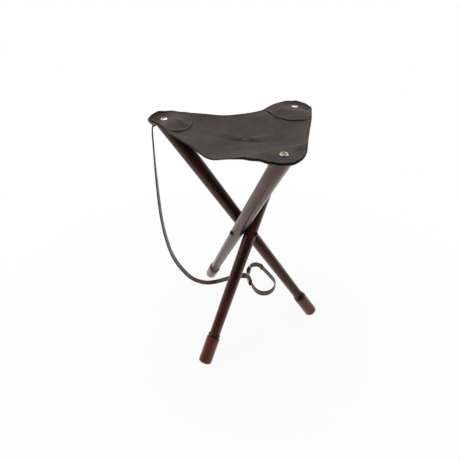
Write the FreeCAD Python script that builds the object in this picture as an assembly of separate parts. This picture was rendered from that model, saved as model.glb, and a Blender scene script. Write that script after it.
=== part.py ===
import FreeCAD, Part
import math
import os

Vector = FreeCAD.Vector
UP = Vector(0, 0, 1)

# Tripod hunting stool, millimetres and degrees. The origin is on the floor under the pivot hub.
# X runs to the sitter's right in the front view, Y to the back and Z up.

# Legs: each passes the hub at its pivot and leans in the plane square to its stud
leg_tilt = 35.0
hub_reach = 17.6
leg_above = 288.0
leg_below = 315.5
leg_top_radius = 16.4
leg_ankle_radius = 11.9
leg_top_round = 2.5
foot_radius = 15.2
foot_length = 63.0
foot_edge_round = 4.0
foot_wear = 0.8
shoulder_radius = 14.4
shoulder_length = 8.0
groove_width = 4.4
groove_depth = 1.8

# Pivot hardware: three studs on one core, each with a washer and a low domed cap nut
stud_radius = 3.0
stud_running_gap = 0.05
stud_in_nut = 2.2
core_radius = 3.3
core_height = 9.0
washer_radius = 6.5
washer_thickness = 1.0
spot_face_depth = 1.2
spot_face_margin = 0.6
pivot_side_gap = 0.2
nut_radius = 5.4
nut_skirt = 1.8
nut_dome = 2.4

# Leather seat: a three-cornered panel that sags along each edge, with a patch on each corner
corner_tilt = 3.0
panel_thickness = 3.0
patch_thickness = 2.5
patch_reach = 62.0
seat_margin = 34.6
seat_tip = 29.7
sag_front = 29.8
sag_right = 22.0
sag_back = 27.5
corner_lift = 7.5
corner_flat_radius = 20.0
corner_blend_radius = 50.0
# The front edge's slack hangs a little lower: how much, where from left to front, how wide and how deep, in shares
slack_drop = 7.4
slack_place_share = 0.54
slack_width_share = 0.12
slack_start_share = -0.07
slack_depth_share = 0.35
surface_points = 41
leather_gap = 0.3

# Seat screws and cup washers
screw_radius = 2.25
screw_depth = 19.0
screw_tip_length = 7.0
screw_head_radius = 4.4
screw_head_crown = 0.9
screw_slot_width = 1.1
screw_slot_depth = 0.9
screw_fit_gap = 0.05
leather_hole_gap = 0.5
cup_radius = 7.5
cup_height = 2.4
cup_lip = 0.6
cup_foot = 0.5

# Carry strap and leg collar
strap_width = 16.0
strap_thickness = 2.5
strap_inner_tail = 9.0
strap_drop_reach = 27.0
strap_lead = 4.0
strap_tuck = 2.5
collar_wall = 2.0
collar_gap = 0.15
sleeve_length = 24.0
keeper_length = 8.0
keeper_wall = 1.6
keeper_slack = 0.5
buckle_wire_radius = 1.2
buckle_height = 22.0
buckle_length = 20.0
buckle_lean = 5.2
buckle_corner_radius = 1.6
prong_radius = 0.9
prong_eye_radius = 2.4
prong_eye_height = 3.0
prong_hole_gap = 0.4
chape_return = 15.0
rivet_radius = 3.4
rivet_height = 1.2
arc_share = 0.45
arc_step = 8.0

# The carry strap's route below the seat corner, chosen by hand: place, and how far the strap is tipped
# from lying flat, in degrees, or that it hangs with its width to the back
strap_route = [
    (-195.8, 17.9, 485.0, "hang"),
    (-195.6, 18.8, 446.0, "hang"),
    (-196.3, 19.8, 400.0, "hang"),
    (-197.8, 21.3, 342.0, "hang"),
    (-198.8, 24.1, 286.0, "hang"),
    (-198.0, 30.7, 234.0, "hang"),
    (-196.0, 41.9, 186.0, "hang"),
    (-193.0, 57.0, 139.5, "hang"),
    (-185.7, 74.5, 96.5, "hang"),
    (-174.8, 91.0, 57.0, "hang"),
    (-158.5, 103.0, 23.0, "hang"),
    (-139.0, 109.0, 6.0, 0.0),
    (-114.0, 108.5, 1.6, 0.0),
    (-90.0, 115.0, 1.5, 0.0),
    (-66.0, 127.0, 1.5, 0.0),
    (-44.0, 140.0, 1.5, 0.0),
    (-27.0, 145.5, 1.6, 4.0),
    (-12.4, 147.0, 5.2, 30.0),
    (-4.5, 145.4, 8.0, 62.0),
    (1.1, 142.0, 9.7, 90.0),
]

# The collar belt's route on edge, from the buckle round to the tongue, chosen by hand
belt_route = [
    (12.0, 168.5, 11.4),
    (8.2, 154.5, 11.4),
    (7.6, 138.0, 10.8),
    (18.6, 105.5, 10.8),
    (26.0, 90.0, 9.6),
    (35.5, 78.0, 8.8),
    (47.5, 72.0, 8.4),
    (60.5, 73.0, 8.4),
    (72.0, 79.5, 8.4),
    (80.5, 90.5, 8.4),
    (86.0, 104.0, 8.4),
    (87.0, 118.0, 8.5),
    (82.5, 132.5, 8.8),
    (73.5, 147.0, 9.0),
    (61.5, 164.5, 9.7),
    (49.5, 181.5, 10.5),
    (40.5, 193.3, 10.7),
    (32.1, 197.1, 11.0),
    (22.9, 196.4, 11.2),
]
sleeve_run = 2
keeper_run = 15

# The tongue's way through the buckle: distance ahead of the heel bar and to the belt's outer side
tongue_places = [(22.0, 0.9), (8.5, 4.6), (-3.0, 5.7), (-9.0, 5.9)]

# Which leg carries which seat corner: the arm's direction seen from above
leg_arms = {"left": 90.0, "front": 210.0, "rear": 330.0}
strap_corner = "left"

# Sizes that follow from the ones above
tilt = math.radians(leg_tilt)
bevel = math.radians(corner_tilt)
foot_drop = (foot_radius - foot_edge_round) * math.sin(tilt) + foot_edge_round - foot_wear
hub_height = (leg_below - foot_edge_round) * math.cos(tilt) + foot_drop
groove_middle = foot_length - leg_below
ankle = groove_middle + groove_width / 2 + shoulder_length
leg_taper = (leg_top_radius - leg_ankle_radius) / (leg_above - ankle)
leg_pivot_radius = leg_ankle_radius - leg_taper * ankle
spot_face = leg_pivot_radius - spot_face_depth
panel_lift = leather_gap + panel_thickness * math.cos(bevel)
cup_lift = panel_lift + patch_thickness * math.cos(bevel) + leather_gap


def arm_direction(name):
    angle = math.radians(leg_arms[name])
    return Vector(math.cos(angle), math.sin(angle), 0)


def lean_direction(name):
    return UP.cross(arm_direction(name))


def leg_axis(name):
    return UP * math.cos(tilt) + lean_direction(name) * math.sin(tilt)


def corner_normal(name):
    return UP * math.cos(bevel) + lean_direction(name) * math.sin(bevel)


def corner_outward(name):
    return lean_direction(name) * math.cos(bevel) - UP * math.sin(bevel)


def pivot_point(name):
    return arm_direction(name) * hub_reach + UP * hub_height


def leg_end(name):
    return pivot_point(name) + leg_axis(name) * leg_above


def screw_point(name, lift):
    """Place on the screw's axis, lift above the end of a leg that carries the bare panel."""
    return leg_end(name) + corner_normal(name) * lift


def framed(shape, origin, x_axis, z_axis):
    """Moves a shape from the world's axes to the given ones."""
    y_axis = z_axis.cross(x_axis)
    matrix = FreeCAD.Matrix(
        x_axis.x, y_axis.x, z_axis.x, origin.x,
        x_axis.y, y_axis.y, z_axis.y, origin.y,
        x_axis.z, y_axis.z, z_axis.z, origin.z,
        0, 0, 0, 1,
    )
    moved = shape.copy()
    moved.Placement = FreeCAD.Placement(matrix).multiply(moved.Placement)
    return moved


def turned(edges):
    """Solid of revolution about Z from a closed profile in the XZ plane."""
    face = Part.Face(Part.Wire(edges))
    return face.revolve(Vector(0, 0, 0), UP, 360)


def line(first, last):
    return Part.LineSegment(first, last).toShape()


def profile(points):
    """Closed chain of straight edges through (radius, height) points."""
    corners = [Vector(radius, 0, height) for radius, height in points]
    return [line(a, b) for a, b in zip(corners, corners[1:] + corners[:1])]


def turned_leg():
    """One leg along Z with its pivot at the origin: round foot, groove, flared shoulder, tapered shank."""
    over = leg_top_radius * math.tan(tilt - bevel) + leg_top_round
    top = leg_above + over
    top_radius = leg_top_radius + leg_taper * over
    foot_corner = Vector(foot_radius - foot_edge_round, 0, -leg_below)
    foot_side = Vector(foot_radius, 0, foot_edge_round - leg_below)
    round_share = foot_edge_round * math.sqrt(0.5)
    round_middle = Vector(
        foot_radius - foot_edge_round + round_share,
        0,
        foot_edge_round - leg_below - round_share,
    )
    chain = [
        foot_side,
        Vector(foot_radius, 0, groove_middle - groove_width / 2),
        Vector(shoulder_radius - groove_depth, 0, groove_middle),
        Vector(shoulder_radius, 0, groove_middle + groove_width / 2),
        Vector(leg_ankle_radius, 0, ankle),
        Vector(top_radius, 0, top),
        Vector(0, 0, top),
        Vector(0, 0, -leg_below),
        foot_corner,
    ]
    edges = [Part.Arc(foot_corner, round_middle, foot_side).toShape()]
    edges += [line(a, b) for a, b in zip(chain, chain[1:])]
    return turned(edges)


def half_space(point, normal, size):
    """Large block on the side of a plane that the normal points to."""
    block = Part.makeBox(size, size, size, Vector(-size / 2, -size / 2, 0))
    side = normal.cross(Vector(0, 1, 0)).normalize()
    return framed(block, point, side, normal)


def rim_of(solid, point, normal):
    """Edges of the flat face that lies in the given plane."""
    for face in solid.Faces:
        centre = face.CenterOfMass
        flat = face.Surface.TypeId == "Part::GeomPlane"
        if flat and abs((centre - point).dot(normal)) < 1e-4:
            return face.OuterWire.Edges
    return []


def leg(name):
    """A leg in place, drilled for its stud and screw, bevelled for the leather and worn flat at the floor."""
    axis = leg_axis(name)
    arm = arm_direction(name)
    solid = framed(turned_leg(), pivot_point(name), arm, axis)
    normal = corner_normal(name)
    seat_drop = 0.0
    if name == strap_corner:
        seat_drop = strap_thickness + leather_gap
    end = leg_end(name) - normal * seat_drop
    solid = solid.cut(half_space(end, normal, leg_above))
    solid = solid.makeFillet(leg_top_round, rim_of(solid, end, normal))
    drill = Part.makeCylinder(screw_radius + screw_fit_gap, screw_depth, end - normal * screw_depth, normal)
    bore_start = pivot_point(name) - arm * hub_reach
    bore = Part.makeCylinder(stud_radius + stud_running_gap, 2 * hub_reach + leg_top_radius, bore_start, arm)
    spot_start = pivot_point(name) + arm * spot_face
    spot_radius = washer_radius + spot_face_margin
    spot = Part.makeCylinder(spot_radius, leg_top_radius, spot_start, arm)
    below_floor = half_space(Vector(0, 0, 0), UP * -1, 4 * leg_below)
    return solid.cut(drill).cut(bore).cut(spot).cut(below_floor)


def pivot_hub():
    """Core with three studs, one through each leg."""
    core_base = Vector(0, 0, hub_height - core_height / 2)
    hub = Part.makeCylinder(core_radius, core_height, core_base, UP)
    length = hub_reach + spot_face + pivot_side_gap + washer_thickness + stud_in_nut
    centre = UP * hub_height
    studs = [Part.makeCylinder(stud_radius, length, centre, arm_direction(name)) for name in leg_arms]
    return hub.multiFuse(studs).removeSplitter()


def washer(name):
    start = pivot_point(name) + arm_direction(name) * (spot_face + pivot_side_gap)
    disc = Part.makeCylinder(washer_radius, washer_thickness, start, arm_direction(name))
    hole = Part.makeCylinder(stud_radius + stud_running_gap, washer_thickness, start, arm_direction(name))
    return disc.cut(hole)


def cap_nut(name):
    """Low domed nut with a blind hole for the stud's end."""
    crown = Vector(0, 0, nut_skirt + nut_dome)
    rim = Vector(nut_radius, 0, nut_skirt)
    dome_radius = (nut_radius**2 + nut_dome**2) / (2 * nut_dome)
    half_angle = math.asin(nut_radius / dome_radius) / 2
    dome_centre = nut_skirt + nut_dome - dome_radius
    middle = Vector(dome_radius * math.sin(half_angle), 0, dome_centre + dome_radius * math.cos(half_angle))
    edges = [
        line(Vector(0, 0, 0), Vector(nut_radius, 0, 0)),
        line(Vector(nut_radius, 0, 0), rim),
        Part.Arc(rim, middle, crown).toShape(),
        line(crown, Vector(0, 0, 0)),
    ]
    hole = Part.makeCylinder(stud_radius + stud_running_gap, stud_in_nut + stud_running_gap)
    nut = turned(edges).cut(hole)
    outside = spot_face + pivot_side_gap + washer_thickness
    return framed(nut, pivot_point(name) + arm_direction(name) * outside, UP, arm_direction(name))


def plan(point):
    return Vector(point.x, point.y, 0)


def seat_corner(name):
    """Where the screw's axis meets the panel's upper face."""
    return screw_point(name, panel_lift)


def above_seat():
    """Height of a cutting prism that stands on the floor and passes well over the seat."""
    return 2 * seat_corner(strap_corner).z


def smooth_step(value):
    share = min(max(value, 0.0), 1.0)
    return share**3 * (share * (6 * share - 15) + 10)


def corner_shares(x, y):
    """Barycentric shares of a place among the three seat corners."""
    left, front, rear = [plan(seat_corner(name)) for name in ("left", "front", "rear")]
    place = Vector(x, y, 0)
    whole = (front - left).cross(rear - left).z
    of_left = (front - place).cross(rear - place).z / whole
    of_front = (rear - place).cross(left - place).z / whole
    return of_left, of_front, 1 - of_left - of_front


def front_slack(of_left, of_front, of_rear):
    """How far the slack of the front edge hangs below its sag."""
    along = of_front / max(of_left + of_front, slack_width_share)
    hang = math.exp(-(((along - slack_place_share) / slack_width_share) ** 2))
    return slack_drop * hang * (1 - smooth_step((of_rear - slack_start_share) / slack_depth_share))


def seat_height(x, y):
    """Upper face of the panel: flat corners, sagging edges and a dished middle."""
    of_left, of_front, of_rear = corner_shares(x, y)
    sag = sag_front * of_left * of_front + sag_right * of_front * of_rear + sag_back * of_rear * of_left
    corner_level = seat_corner(strap_corner).z
    height = corner_level + corner_lift - 4 * sag - front_slack(of_left, of_front, of_rear)
    for name in leg_arms:
        reach = Vector(x, y, 0) - plan(seat_corner(name))
        ramp = (reach.Length - corner_flat_radius) / (corner_blend_radius - corner_flat_radius)
        corner_plane = corner_level - reach.dot(lean_direction(name)) * math.tan(bevel)
        loose = smooth_step(ramp)
        height = loose * height + (1 - loose) * corner_plane
    return height


def seat_surface():
    """The panel's upper face over the whole square round the seat."""
    half = plan(seat_corner(strap_corner)).Length + seat_margin
    places = [half * (2 * i / (surface_points - 1) - 1) for i in range(surface_points)]
    rows = [[Vector(x, y, seat_height(x, y)) for y in places] for x in places]
    surface = Part.BSplineSurface()
    surface.interpolate(rows)
    return surface.toShape()


def seat_outline():
    """Prism of the seat's plan: straight edges joined by a round at each corner."""
    inset = 2 * (seat_margin - seat_tip)
    corner_radius = seat_margin + inset / 2
    ends = []
    for name in ("left", "front", "rear"):
        corner = plan(seat_corner(name))
        outward = Vector(corner).normalize()
        centre = corner - outward * inset
        heading = math.atan2(outward.y, outward.x)
        sides = [heading + math.radians(turn) for turn in (-60, 0, 60)]
        ends.append([centre + Vector(math.cos(a), math.sin(a), 0) * corner_radius for a in sides])
    edges = []
    for index, (first, middle, last) in enumerate(ends):
        edges.append(Part.Arc(first, middle, last).toShape())
        edges.append(line(last, ends[(index + 1) % len(ends)][0]))
    return Part.Face(Part.Wire(edges)).extrude(UP * above_seat())


def screw_hole(name):
    start = screw_point(name, -strap_thickness - 4 * leather_gap)
    length = cup_lift + strap_thickness + 8 * leather_gap
    return Part.makeCylinder(screw_radius + leather_hole_gap, length, start, corner_normal(name))


def seat_panel(surface, outline):
    sheet = surface.extrude(UP * -panel_thickness).common(outline)
    holes = [screw_hole(name) for name in leg_arms]
    return sheet.cut(holes)


def corner_patch(surface, outline, name):
    """Second layer on a corner, with a round inner edge."""
    disc = Part.makeCylinder(patch_reach, above_seat(), plan(seat_corner(name)), UP)
    sheet = surface.extrude(UP * patch_thickness).common(outline.common(disc))
    return sheet.cut(screw_hole(name))


def cup_washer(name):
    """Pressed cup under the screw's head, rounded outside and tapered inside."""
    bore = screw_radius + leather_hole_gap
    outline = profile([
        (bore, 0),
        (cup_radius, 0),
        (cup_radius, cup_foot),
        (screw_head_radius + 2 * cup_lip, cup_height),
        (screw_head_radius + cup_lip, cup_height),
        (bore, cup_foot),
    ])
    place = screw_point(name, cup_lift)
    return framed(turned(outline), place, arm_direction(name), corner_normal(name))


def seat_screw(name):
    """Slotted oval-head screw through the leather into the leg's end."""
    neck = cup_foot + screw_fit_gap
    depth = screw_depth + cup_lift - 2 * leather_gap
    crown = cup_height + screw_head_crown
    outline = profile([
        (0, crown),
        (screw_head_radius * 0.6, crown - screw_head_crown * 0.2),
        (screw_head_radius, cup_height),
        (screw_radius, neck),
        (screw_radius, screw_tip_length - depth),
        (0, -depth),
    ])
    slot = Part.makeBox(
        2 * cup_radius,
        screw_slot_width,
        screw_slot_depth + screw_head_crown,
        Vector(-cup_radius, -screw_slot_width / 2, crown - screw_slot_depth),
    )
    place = screw_point(name, cup_lift)
    return framed(turned(outline).cut(slot), place, arm_direction(name), corner_normal(name))


def rounded_stations(points, label):
    """Places along straight runs joined by tangent arcs, each with its direction and its point number."""
    stations = [(points[0], (points[1] - points[0]).normalize(), 0.0)]
    radii = []
    for index in range(1, len(points) - 1):
        before = points[index] - points[index - 1]
        after = points[index + 1] - points[index]
        turn = before.getAngle(after)
        tangent = arc_share * min(before.Length, after.Length)
        radius = tangent / math.tan(turn / 2)
        radii.append(round(radius, 1))
        start_way = Vector(before).normalize()
        end_way = Vector(after).normalize()
        normal = start_way.cross(end_way).normalize()
        centre = points[index] - start_way * tangent + normal.cross(start_way) * radius
        steps = max(2, math.ceil(math.degrees(turn) / arc_step))
        for step in range(steps + 1):
            rotation = FreeCAD.Rotation(normal, math.degrees(turn) * step / steps)
            spoke = rotation.multVec(normal.cross(start_way) * -radius)
            number = index + arc_share * (2 * step / steps - 1)
            stations.append((centre + spoke, rotation.multVec(start_way), number))
    stations.append((points[-1], (points[-1] - points[-2]).normalize(), len(points) - 1.0))
    print(label, "bend radii", radii)
    return stations


def band(points, across_at, width, thickness, label):
    """Flat strap along a route, as one ruled skin through its cross-sections."""
    stations = rounded_stations(points, label)
    sections = []
    for place, way, number in stations:
        low = min(int(number), len(points) - 2)
        share = number - low
        across = across_at[low] * (1 - share) + across_at[low + 1] * share
        across = (across - way * across.dot(way)).normalize()
        face_normal = way.cross(across)
        half = across * (width / 2)
        depth = face_normal * (thickness / 2)
        upper, lower = place + depth, place - depth
        sections.append([upper + half, upper - half, lower - half, lower + half])
    solid = skin(sections)
    length = sum((b[0] - a[0]).Length for a, b in zip(stations, stations[1:]))
    share = solid.Volume / (length * width * thickness)
    print(label, "length", round(length, 1), "volume share", round(share, 3))
    return solid


def skin(sections):
    """Solid whose sides are ruled between neighbouring cross-sections, corner to corner."""
    faces = [Part.Face(Part.makePolygon(ring + ring[:1])) for ring in (sections[0], sections[-1])]
    for first, last in zip(sections, sections[1:]):
        for index in range(len(first)):
            after = (index + 1) % len(first)
            near = line(first[index], first[after])
            far = line(last[index], last[after])
            faces.append(Part.makeRuledSurface(near, far))
    shell = Part.makeShell(faces)
    shell.sewShape()
    return Part.makeSolid(shell)


def heel_line():
    """Middle of the buckle's heel bar, the way from the belt to the fold, and the belt's outer side there."""
    first, second = [Vector(*place) for place in belt_route[:2]]
    way = plan(first - second).normalize()
    side = UP.cross(way)
    return first + side * (strap_thickness / 2 + buckle_wire_radius + collar_gap), way, side


def near_heel(ahead, aside):
    place, way, side = heel_line()
    return place + way * ahead + side * aside


def belt_points():
    places = [Vector(*place) for place in belt_route]
    return places + [near_heel(ahead, aside) for ahead, aside in tongue_places]


def belt_run(number):
    """Middle, heading and outer side of one straight run of the collar belt."""
    points = belt_points()
    first, last = points[number], points[number + 1]
    way = plan(last - first).normalize()
    return (first + last) * 0.5, way, UP.cross(way)


def strap_end_points():
    """Last two places of the carry strap, beside the belt inside the sleeve."""
    middle, way, side = belt_run(sleeve_run)
    beside = middle - side * (strap_thickness + collar_gap)
    entry = sleeve_length / 2 + strap_lead
    return beside - way * entry, beside - way * (sleeve_length / 2 - strap_tuck)


def strap_start_points():
    """Flat tail under the seat corner, out to where the strap turns down."""
    middle = screw_point(strap_corner, -strap_thickness / 2)
    outward = corner_outward(strap_corner)
    return middle - outward * strap_inner_tail, middle + outward * strap_drop_reach


def carry_strap():
    """Strap from under the seat corner down to the floor and along it to the collar."""
    tail, drop = strap_start_points()
    before_sleeve, in_sleeve = strap_end_points()
    points = [tail, drop]
    points += [Vector(x, y, z) for x, y, z, lie in strap_route]
    points += [before_sleeve, in_sleeve]
    tips = ["hang", "hang"] + [tip for x, y, z, tip in strap_route] + [90.0, 90.0]
    across_at = []
    for index, tip in enumerate(tips):
        if tip == "hang":
            across_at.append(Vector(0, 1, 0))
            continue
        ahead = points[min(index + 1, len(points) - 1)] - points[index - 1]
        level = UP.cross(ahead).normalize()
        across_at.append(level * math.cos(math.radians(tip)) + UP * math.sin(math.radians(tip)))
    solid = band(points, across_at, strap_width, strap_thickness, "carry strap")
    return solid.cut(screw_hole(strap_corner))


def buckle_bars():
    """Middles of the heel bar and the front bar."""
    return near_heel(0, 0), near_heel(buckle_length, buckle_lean)


def prong_line():
    """Start and end of the prong's pin, from the heel bar's eye to the outer side of the front bar."""
    heel_bar, front_bar = buckle_bars()
    way = (front_bar - heel_bar).normalize()
    outward = UP.cross(way)
    start = heel_bar + way * (prong_eye_radius - prong_radius)
    rest = front_bar + outward * (buckle_wire_radius + prong_radius + collar_gap)
    return start, rest + (rest - start).normalize() * prong_eye_radius


def prong_room():
    """Space that the leather leaves round the prong's eye and pin."""
    slot_height = prong_eye_height + 2 * prong_hole_gap
    slot_base = near_heel(0, 0) - UP * (slot_height / 2)
    slot = Part.makeCylinder(prong_eye_radius + prong_hole_gap, slot_height, slot_base, UP)
    start, end = prong_line()
    path = Part.makeCylinder(prong_radius + prong_hole_gap, (end - start).Length, start, end - start)
    return slot.fuse(path)


def collar_belt():
    """Belt of the leg collar on edge, with the hole that the prong passes through."""
    points = belt_points()
    solid = band(points, [UP] * len(points), strap_width, strap_thickness, "collar belt")
    return solid.cut(prong_room())


def loop_round(number, near_room, far_room, wall, length):
    """Leather loop round one straight run of the belt, with room on each side of the belt's middle."""
    middle, way, side = belt_run(number)
    height = strap_width + 2 * collar_gap
    room = near_room + far_room
    inner_corner = Vector(-length / 2, -near_room, -height / 2)
    outer_corner = inner_corner - Vector(0, wall, wall)
    outer = Part.makeBox(length, room + 2 * wall, height + 2 * wall, outer_corner)
    inner = Part.makeBox(length, room, height, inner_corner)
    return framed(outer.cut(inner), middle, way, UP)


def strap_end_sleeve():
    """End of the carry strap folded round the belt."""
    near = strap_thickness * 1.5 + 2 * collar_gap
    far = strap_thickness / 2 + collar_gap
    return loop_round(sleeve_run, near, far, collar_wall, sleeve_length)


def belt_keeper():
    room = strap_thickness / 2 + keeper_slack
    return loop_round(keeper_run, room, room, keeper_wall, keeper_length)


def sleeve_rivet():
    """Domed rivet head on the sleeve's outer side."""
    middle, way, side = belt_run(sleeve_run)
    outside = strap_thickness * 1.5 + 2 * collar_gap + collar_wall
    crown = Vector(0, 0, rivet_height)
    rim = Vector(rivet_radius, 0, 0)
    dome_radius = (rivet_radius**2 + rivet_height**2) / (2 * rivet_height)
    half_angle = math.asin(rivet_radius / dome_radius) / 2
    dome_centre = rivet_height - dome_radius
    bulge = Vector(dome_radius * math.sin(half_angle), 0, dome_centre + dome_radius * math.cos(half_angle))
    edges = [line(Vector(0, 0, 0), rim), Part.Arc(rim, bulge, crown).toShape(), line(crown, Vector(0, 0, 0))]
    return framed(turned(edges), middle - side * outside, way, side * -1)


def buckle_frame():
    """Rounded rectangle of wire, upright between the belt's layers."""
    heel_bar, front_bar = buckle_bars()
    way = (front_bar - heel_bar).normalize()
    length = (front_bar - heel_bar).Length
    height = buckle_height - 2 * buckle_wire_radius
    corners = [
        Vector(0, 0, -height / 2),
        Vector(length, 0, -height / 2),
        Vector(length, 0, height / 2),
        Vector(0, 0, height / 2),
    ]
    edges = []
    for index, corner in enumerate(corners):
        back = (corners[index - 1] - corner).normalize()
        ahead = (corners[(index + 1) % len(corners)] - corner).normalize()
        first = corner + back * buckle_corner_radius
        last = corner + ahead * buckle_corner_radius
        middle = corner + (back + ahead) * (buckle_corner_radius * (1 - math.sqrt(0.5)))
        if edges:
            edges.append(line(edges[-1].lastVertex().Point, first))
        edges.append(Part.Arc(first, middle, last).toShape())
    edges.append(line(edges[-1].lastVertex().Point, edges[0].firstVertex().Point))
    start = edges[0].firstVertex().Point
    section = Part.Wire(Part.Circle(start, UP, buckle_wire_radius).toShape())
    wire = Part.Wire(edges).makePipeShell([section], True, False)
    return framed(wire, heel_bar, way, UP)


def buckle_prong():
    """Pin with an eye round the heel bar, lying on the front bar."""
    base = near_heel(0, 0) - UP * (prong_eye_height / 2)
    eye = Part.makeCylinder(prong_eye_radius, prong_eye_height, base, UP)
    start, end = prong_line()
    pin = Part.makeCylinder(prong_radius, (end - start).Length, start, end - start)
    bore = Part.makeCylinder(buckle_wire_radius + collar_gap, prong_eye_height, base, UP)
    return eye.fuse(pin).cut(bore).removeSplitter()


def buckle_chape():
    """Turned-back end of the belt: a fold over the heel bar and a flat return, slotted for the prong."""
    inner = buckle_wire_radius + collar_gap
    outer = inner + strap_thickness
    base = UP * (-strap_width / 2)
    fold = Part.makeCylinder(outer, strap_width, base, UP, 180)
    fold = fold.cut(Part.makeCylinder(inner, strap_width, base, UP))
    flat = Part.makeBox(strap_thickness, chape_return, strap_width, base - Vector(outer, chape_return, 0))
    place, way, side = heel_line()
    leather = framed(fold.fuse(flat).removeSplitter(), place, side * -1, UP)
    return leather.cut(prong_room())


def build():
    surface = seat_surface()
    outline = seat_outline()
    nodes = {"pivot_hub": pivot_hub(), "seat_panel": seat_panel(surface, outline)}
    for name in leg_arms:
        nodes["leg_" + name] = leg(name)
        nodes["pivot_washer_" + name] = washer(name)
        nodes["cap_nut_" + name] = cap_nut(name)
        nodes["corner_patch_" + name] = corner_patch(surface, outline, name)
        nodes["cup_washer_" + name] = cup_washer(name)
        nodes["seat_screw_" + name] = seat_screw(name)
    nodes["carry_strap"] = carry_strap()
    nodes["collar_belt"] = collar_belt()
    nodes["strap_end_sleeve"] = strap_end_sleeve()
    nodes["sleeve_rivet"] = sleeve_rivet()
    nodes["belt_keeper"] = belt_keeper()
    nodes["buckle_chape"] = buckle_chape()
    nodes["buckle_frame"] = buckle_frame()
    nodes["buckle_prong"] = buckle_prong()
    return nodes


os.makedirs("parts", exist_ok=True)
for node, shape in build().items():
    shape.exportStep("parts/" + node + ".step")
    box = shape.BoundBox
    print(node, "solids", len(shape.Solids), "valid", shape.isValid(), "volume", round(shape.Volume, 1),
          [round(v, 1) for v in (box.XMin, box.XMax, box.YMin, box.YMax, box.ZMin, box.ZMax)])
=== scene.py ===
import math
import bmesh
import bpy
import numpy as np
from mathutils import Matrix, Vector


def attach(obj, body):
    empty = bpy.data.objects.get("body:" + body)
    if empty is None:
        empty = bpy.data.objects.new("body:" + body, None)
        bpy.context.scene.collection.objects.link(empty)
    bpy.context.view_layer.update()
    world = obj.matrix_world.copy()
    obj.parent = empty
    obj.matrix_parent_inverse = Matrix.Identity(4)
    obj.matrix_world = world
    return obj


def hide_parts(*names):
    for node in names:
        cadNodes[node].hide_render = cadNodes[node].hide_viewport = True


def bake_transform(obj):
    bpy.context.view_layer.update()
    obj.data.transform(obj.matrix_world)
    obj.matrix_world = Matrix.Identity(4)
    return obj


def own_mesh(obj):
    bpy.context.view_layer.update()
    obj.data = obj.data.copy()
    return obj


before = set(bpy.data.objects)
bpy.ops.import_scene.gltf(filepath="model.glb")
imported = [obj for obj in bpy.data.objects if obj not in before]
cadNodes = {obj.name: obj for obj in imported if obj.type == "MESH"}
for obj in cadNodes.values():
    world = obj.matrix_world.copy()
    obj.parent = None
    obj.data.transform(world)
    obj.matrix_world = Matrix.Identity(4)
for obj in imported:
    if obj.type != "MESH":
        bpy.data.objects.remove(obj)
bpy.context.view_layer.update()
up = np.array([0.0, 0.0, 1.0])


# Small helpers for numbers, colours and meshes
def unit(vector):
    vector = np.asarray(vector, float)
    return vector / np.linalg.norm(vector)


def smoothStep(value):
    share = np.clip(value, 0.0, 1.0)
    return share**3 * (share * (6 * share - 15) + 10)


def bell(away, width):
    return np.exp(-(away / width) ** 2)


def turnBetween(angle, start, whole=2 * math.pi):
    # the turn from start to angle, the short way round
    return (angle - start + whole / 2) % whole - whole / 2


def rgb(red, green, blue):
    # a screen colour of 0 to 255 as the linear colour that the sockets take
    channels = [c / 255 for c in (red, green, blue)]
    return tuple(c / 12.92 if c < 0.04045 else ((c + 0.055) / 1.055) ** 2.4 for c in channels) + (1.0,)


def setMarks(mesh, **marks):
    # a number or a vector at each point, under its own name
    for name, values in marks.items():
        values = np.asarray(values, np.float32)
        kind, key = ("FLOAT", "value") if values.ndim == 1 else ("FLOAT_VECTOR", "vector")
        attribute = mesh.attributes.new(name, kind, "POINT")
        attribute.data.foreach_set(key, values.ravel())


def newMesh(name, places, faces, material):
    mesh = bpy.data.meshes.new(name)
    mesh.from_pydata([tuple(p) for p in places], [], faces)
    mesh.materials.append(material)
    shell = bmesh.new()
    shell.from_mesh(mesh)
    bmesh.ops.recalc_face_normals(shell, faces=shell.faces)
    shell.to_mesh(mesh)
    shell.free()
    mesh.shade_smooth()
    return mesh


def ringFaces(rows, count, closed=False):
    # quads between neighbouring rings of the same count, and from the last to the first where closed
    faces = []
    for row in range(rows if closed else rows - 1):
        near, far = row * count, (row + 1) % rows * count
        for k in range(count):
            after = (k + 1) % count
            faces.append((near + k, near + after, far + after, far + k))
    return faces


def newPiece(name, data):
    piece = bpy.data.objects.new(name, data)
    bpy.context.scene.collection.objects.link(piece)
    return piece


def plainMesh(piece):
    depsgraph = bpy.context.evaluated_depsgraph_get()
    return bpy.data.meshes.new_from_object(piece.evaluated_get(depsgraph))


def dropPiece(piece):
    bpy.data.objects.remove(piece, do_unlink=True)


# Small helpers for node trees
def addNode(tree, kind, **settings):
    node = tree.nodes.new(kind)
    for key, value in settings.items():
        setattr(node, key, value)
    return node


def setInputs(node, values):
    for name, value in values.items():
        node.inputs[name].default_value = value


def feed(tree, value, socket):
    if isinstance(value, (int, float, tuple)):
        socket.default_value = value
    else:
        tree.links.new(value, socket)


def mathNode(tree, operation, first, second, clamp=False):
    node = addNode(tree, "ShaderNodeMath", operation=operation, use_clamp=clamp)
    feed(tree, first, node.inputs[0])
    feed(tree, second, node.inputs[1])
    return node.outputs[0]


def weightedSum(tree, *terms):
    total = None
    for value, weight in terms:
        part = mathNode(tree, "MULTIPLY", value, weight)
        total = part if total is None else mathNode(tree, "ADD", total, part)
    return total


def noiseNode(tree, place, scale, detail=4.0, roughness=0.55, distortion=0.0):
    node = addNode(tree, "ShaderNodeTexNoise")
    tree.links.new(place, node.inputs["Vector"])
    setInputs(node, {"Scale": scale, "Detail": detail, "Roughness": roughness, "Distortion": distortion})
    return node.outputs["Fac"]


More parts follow.
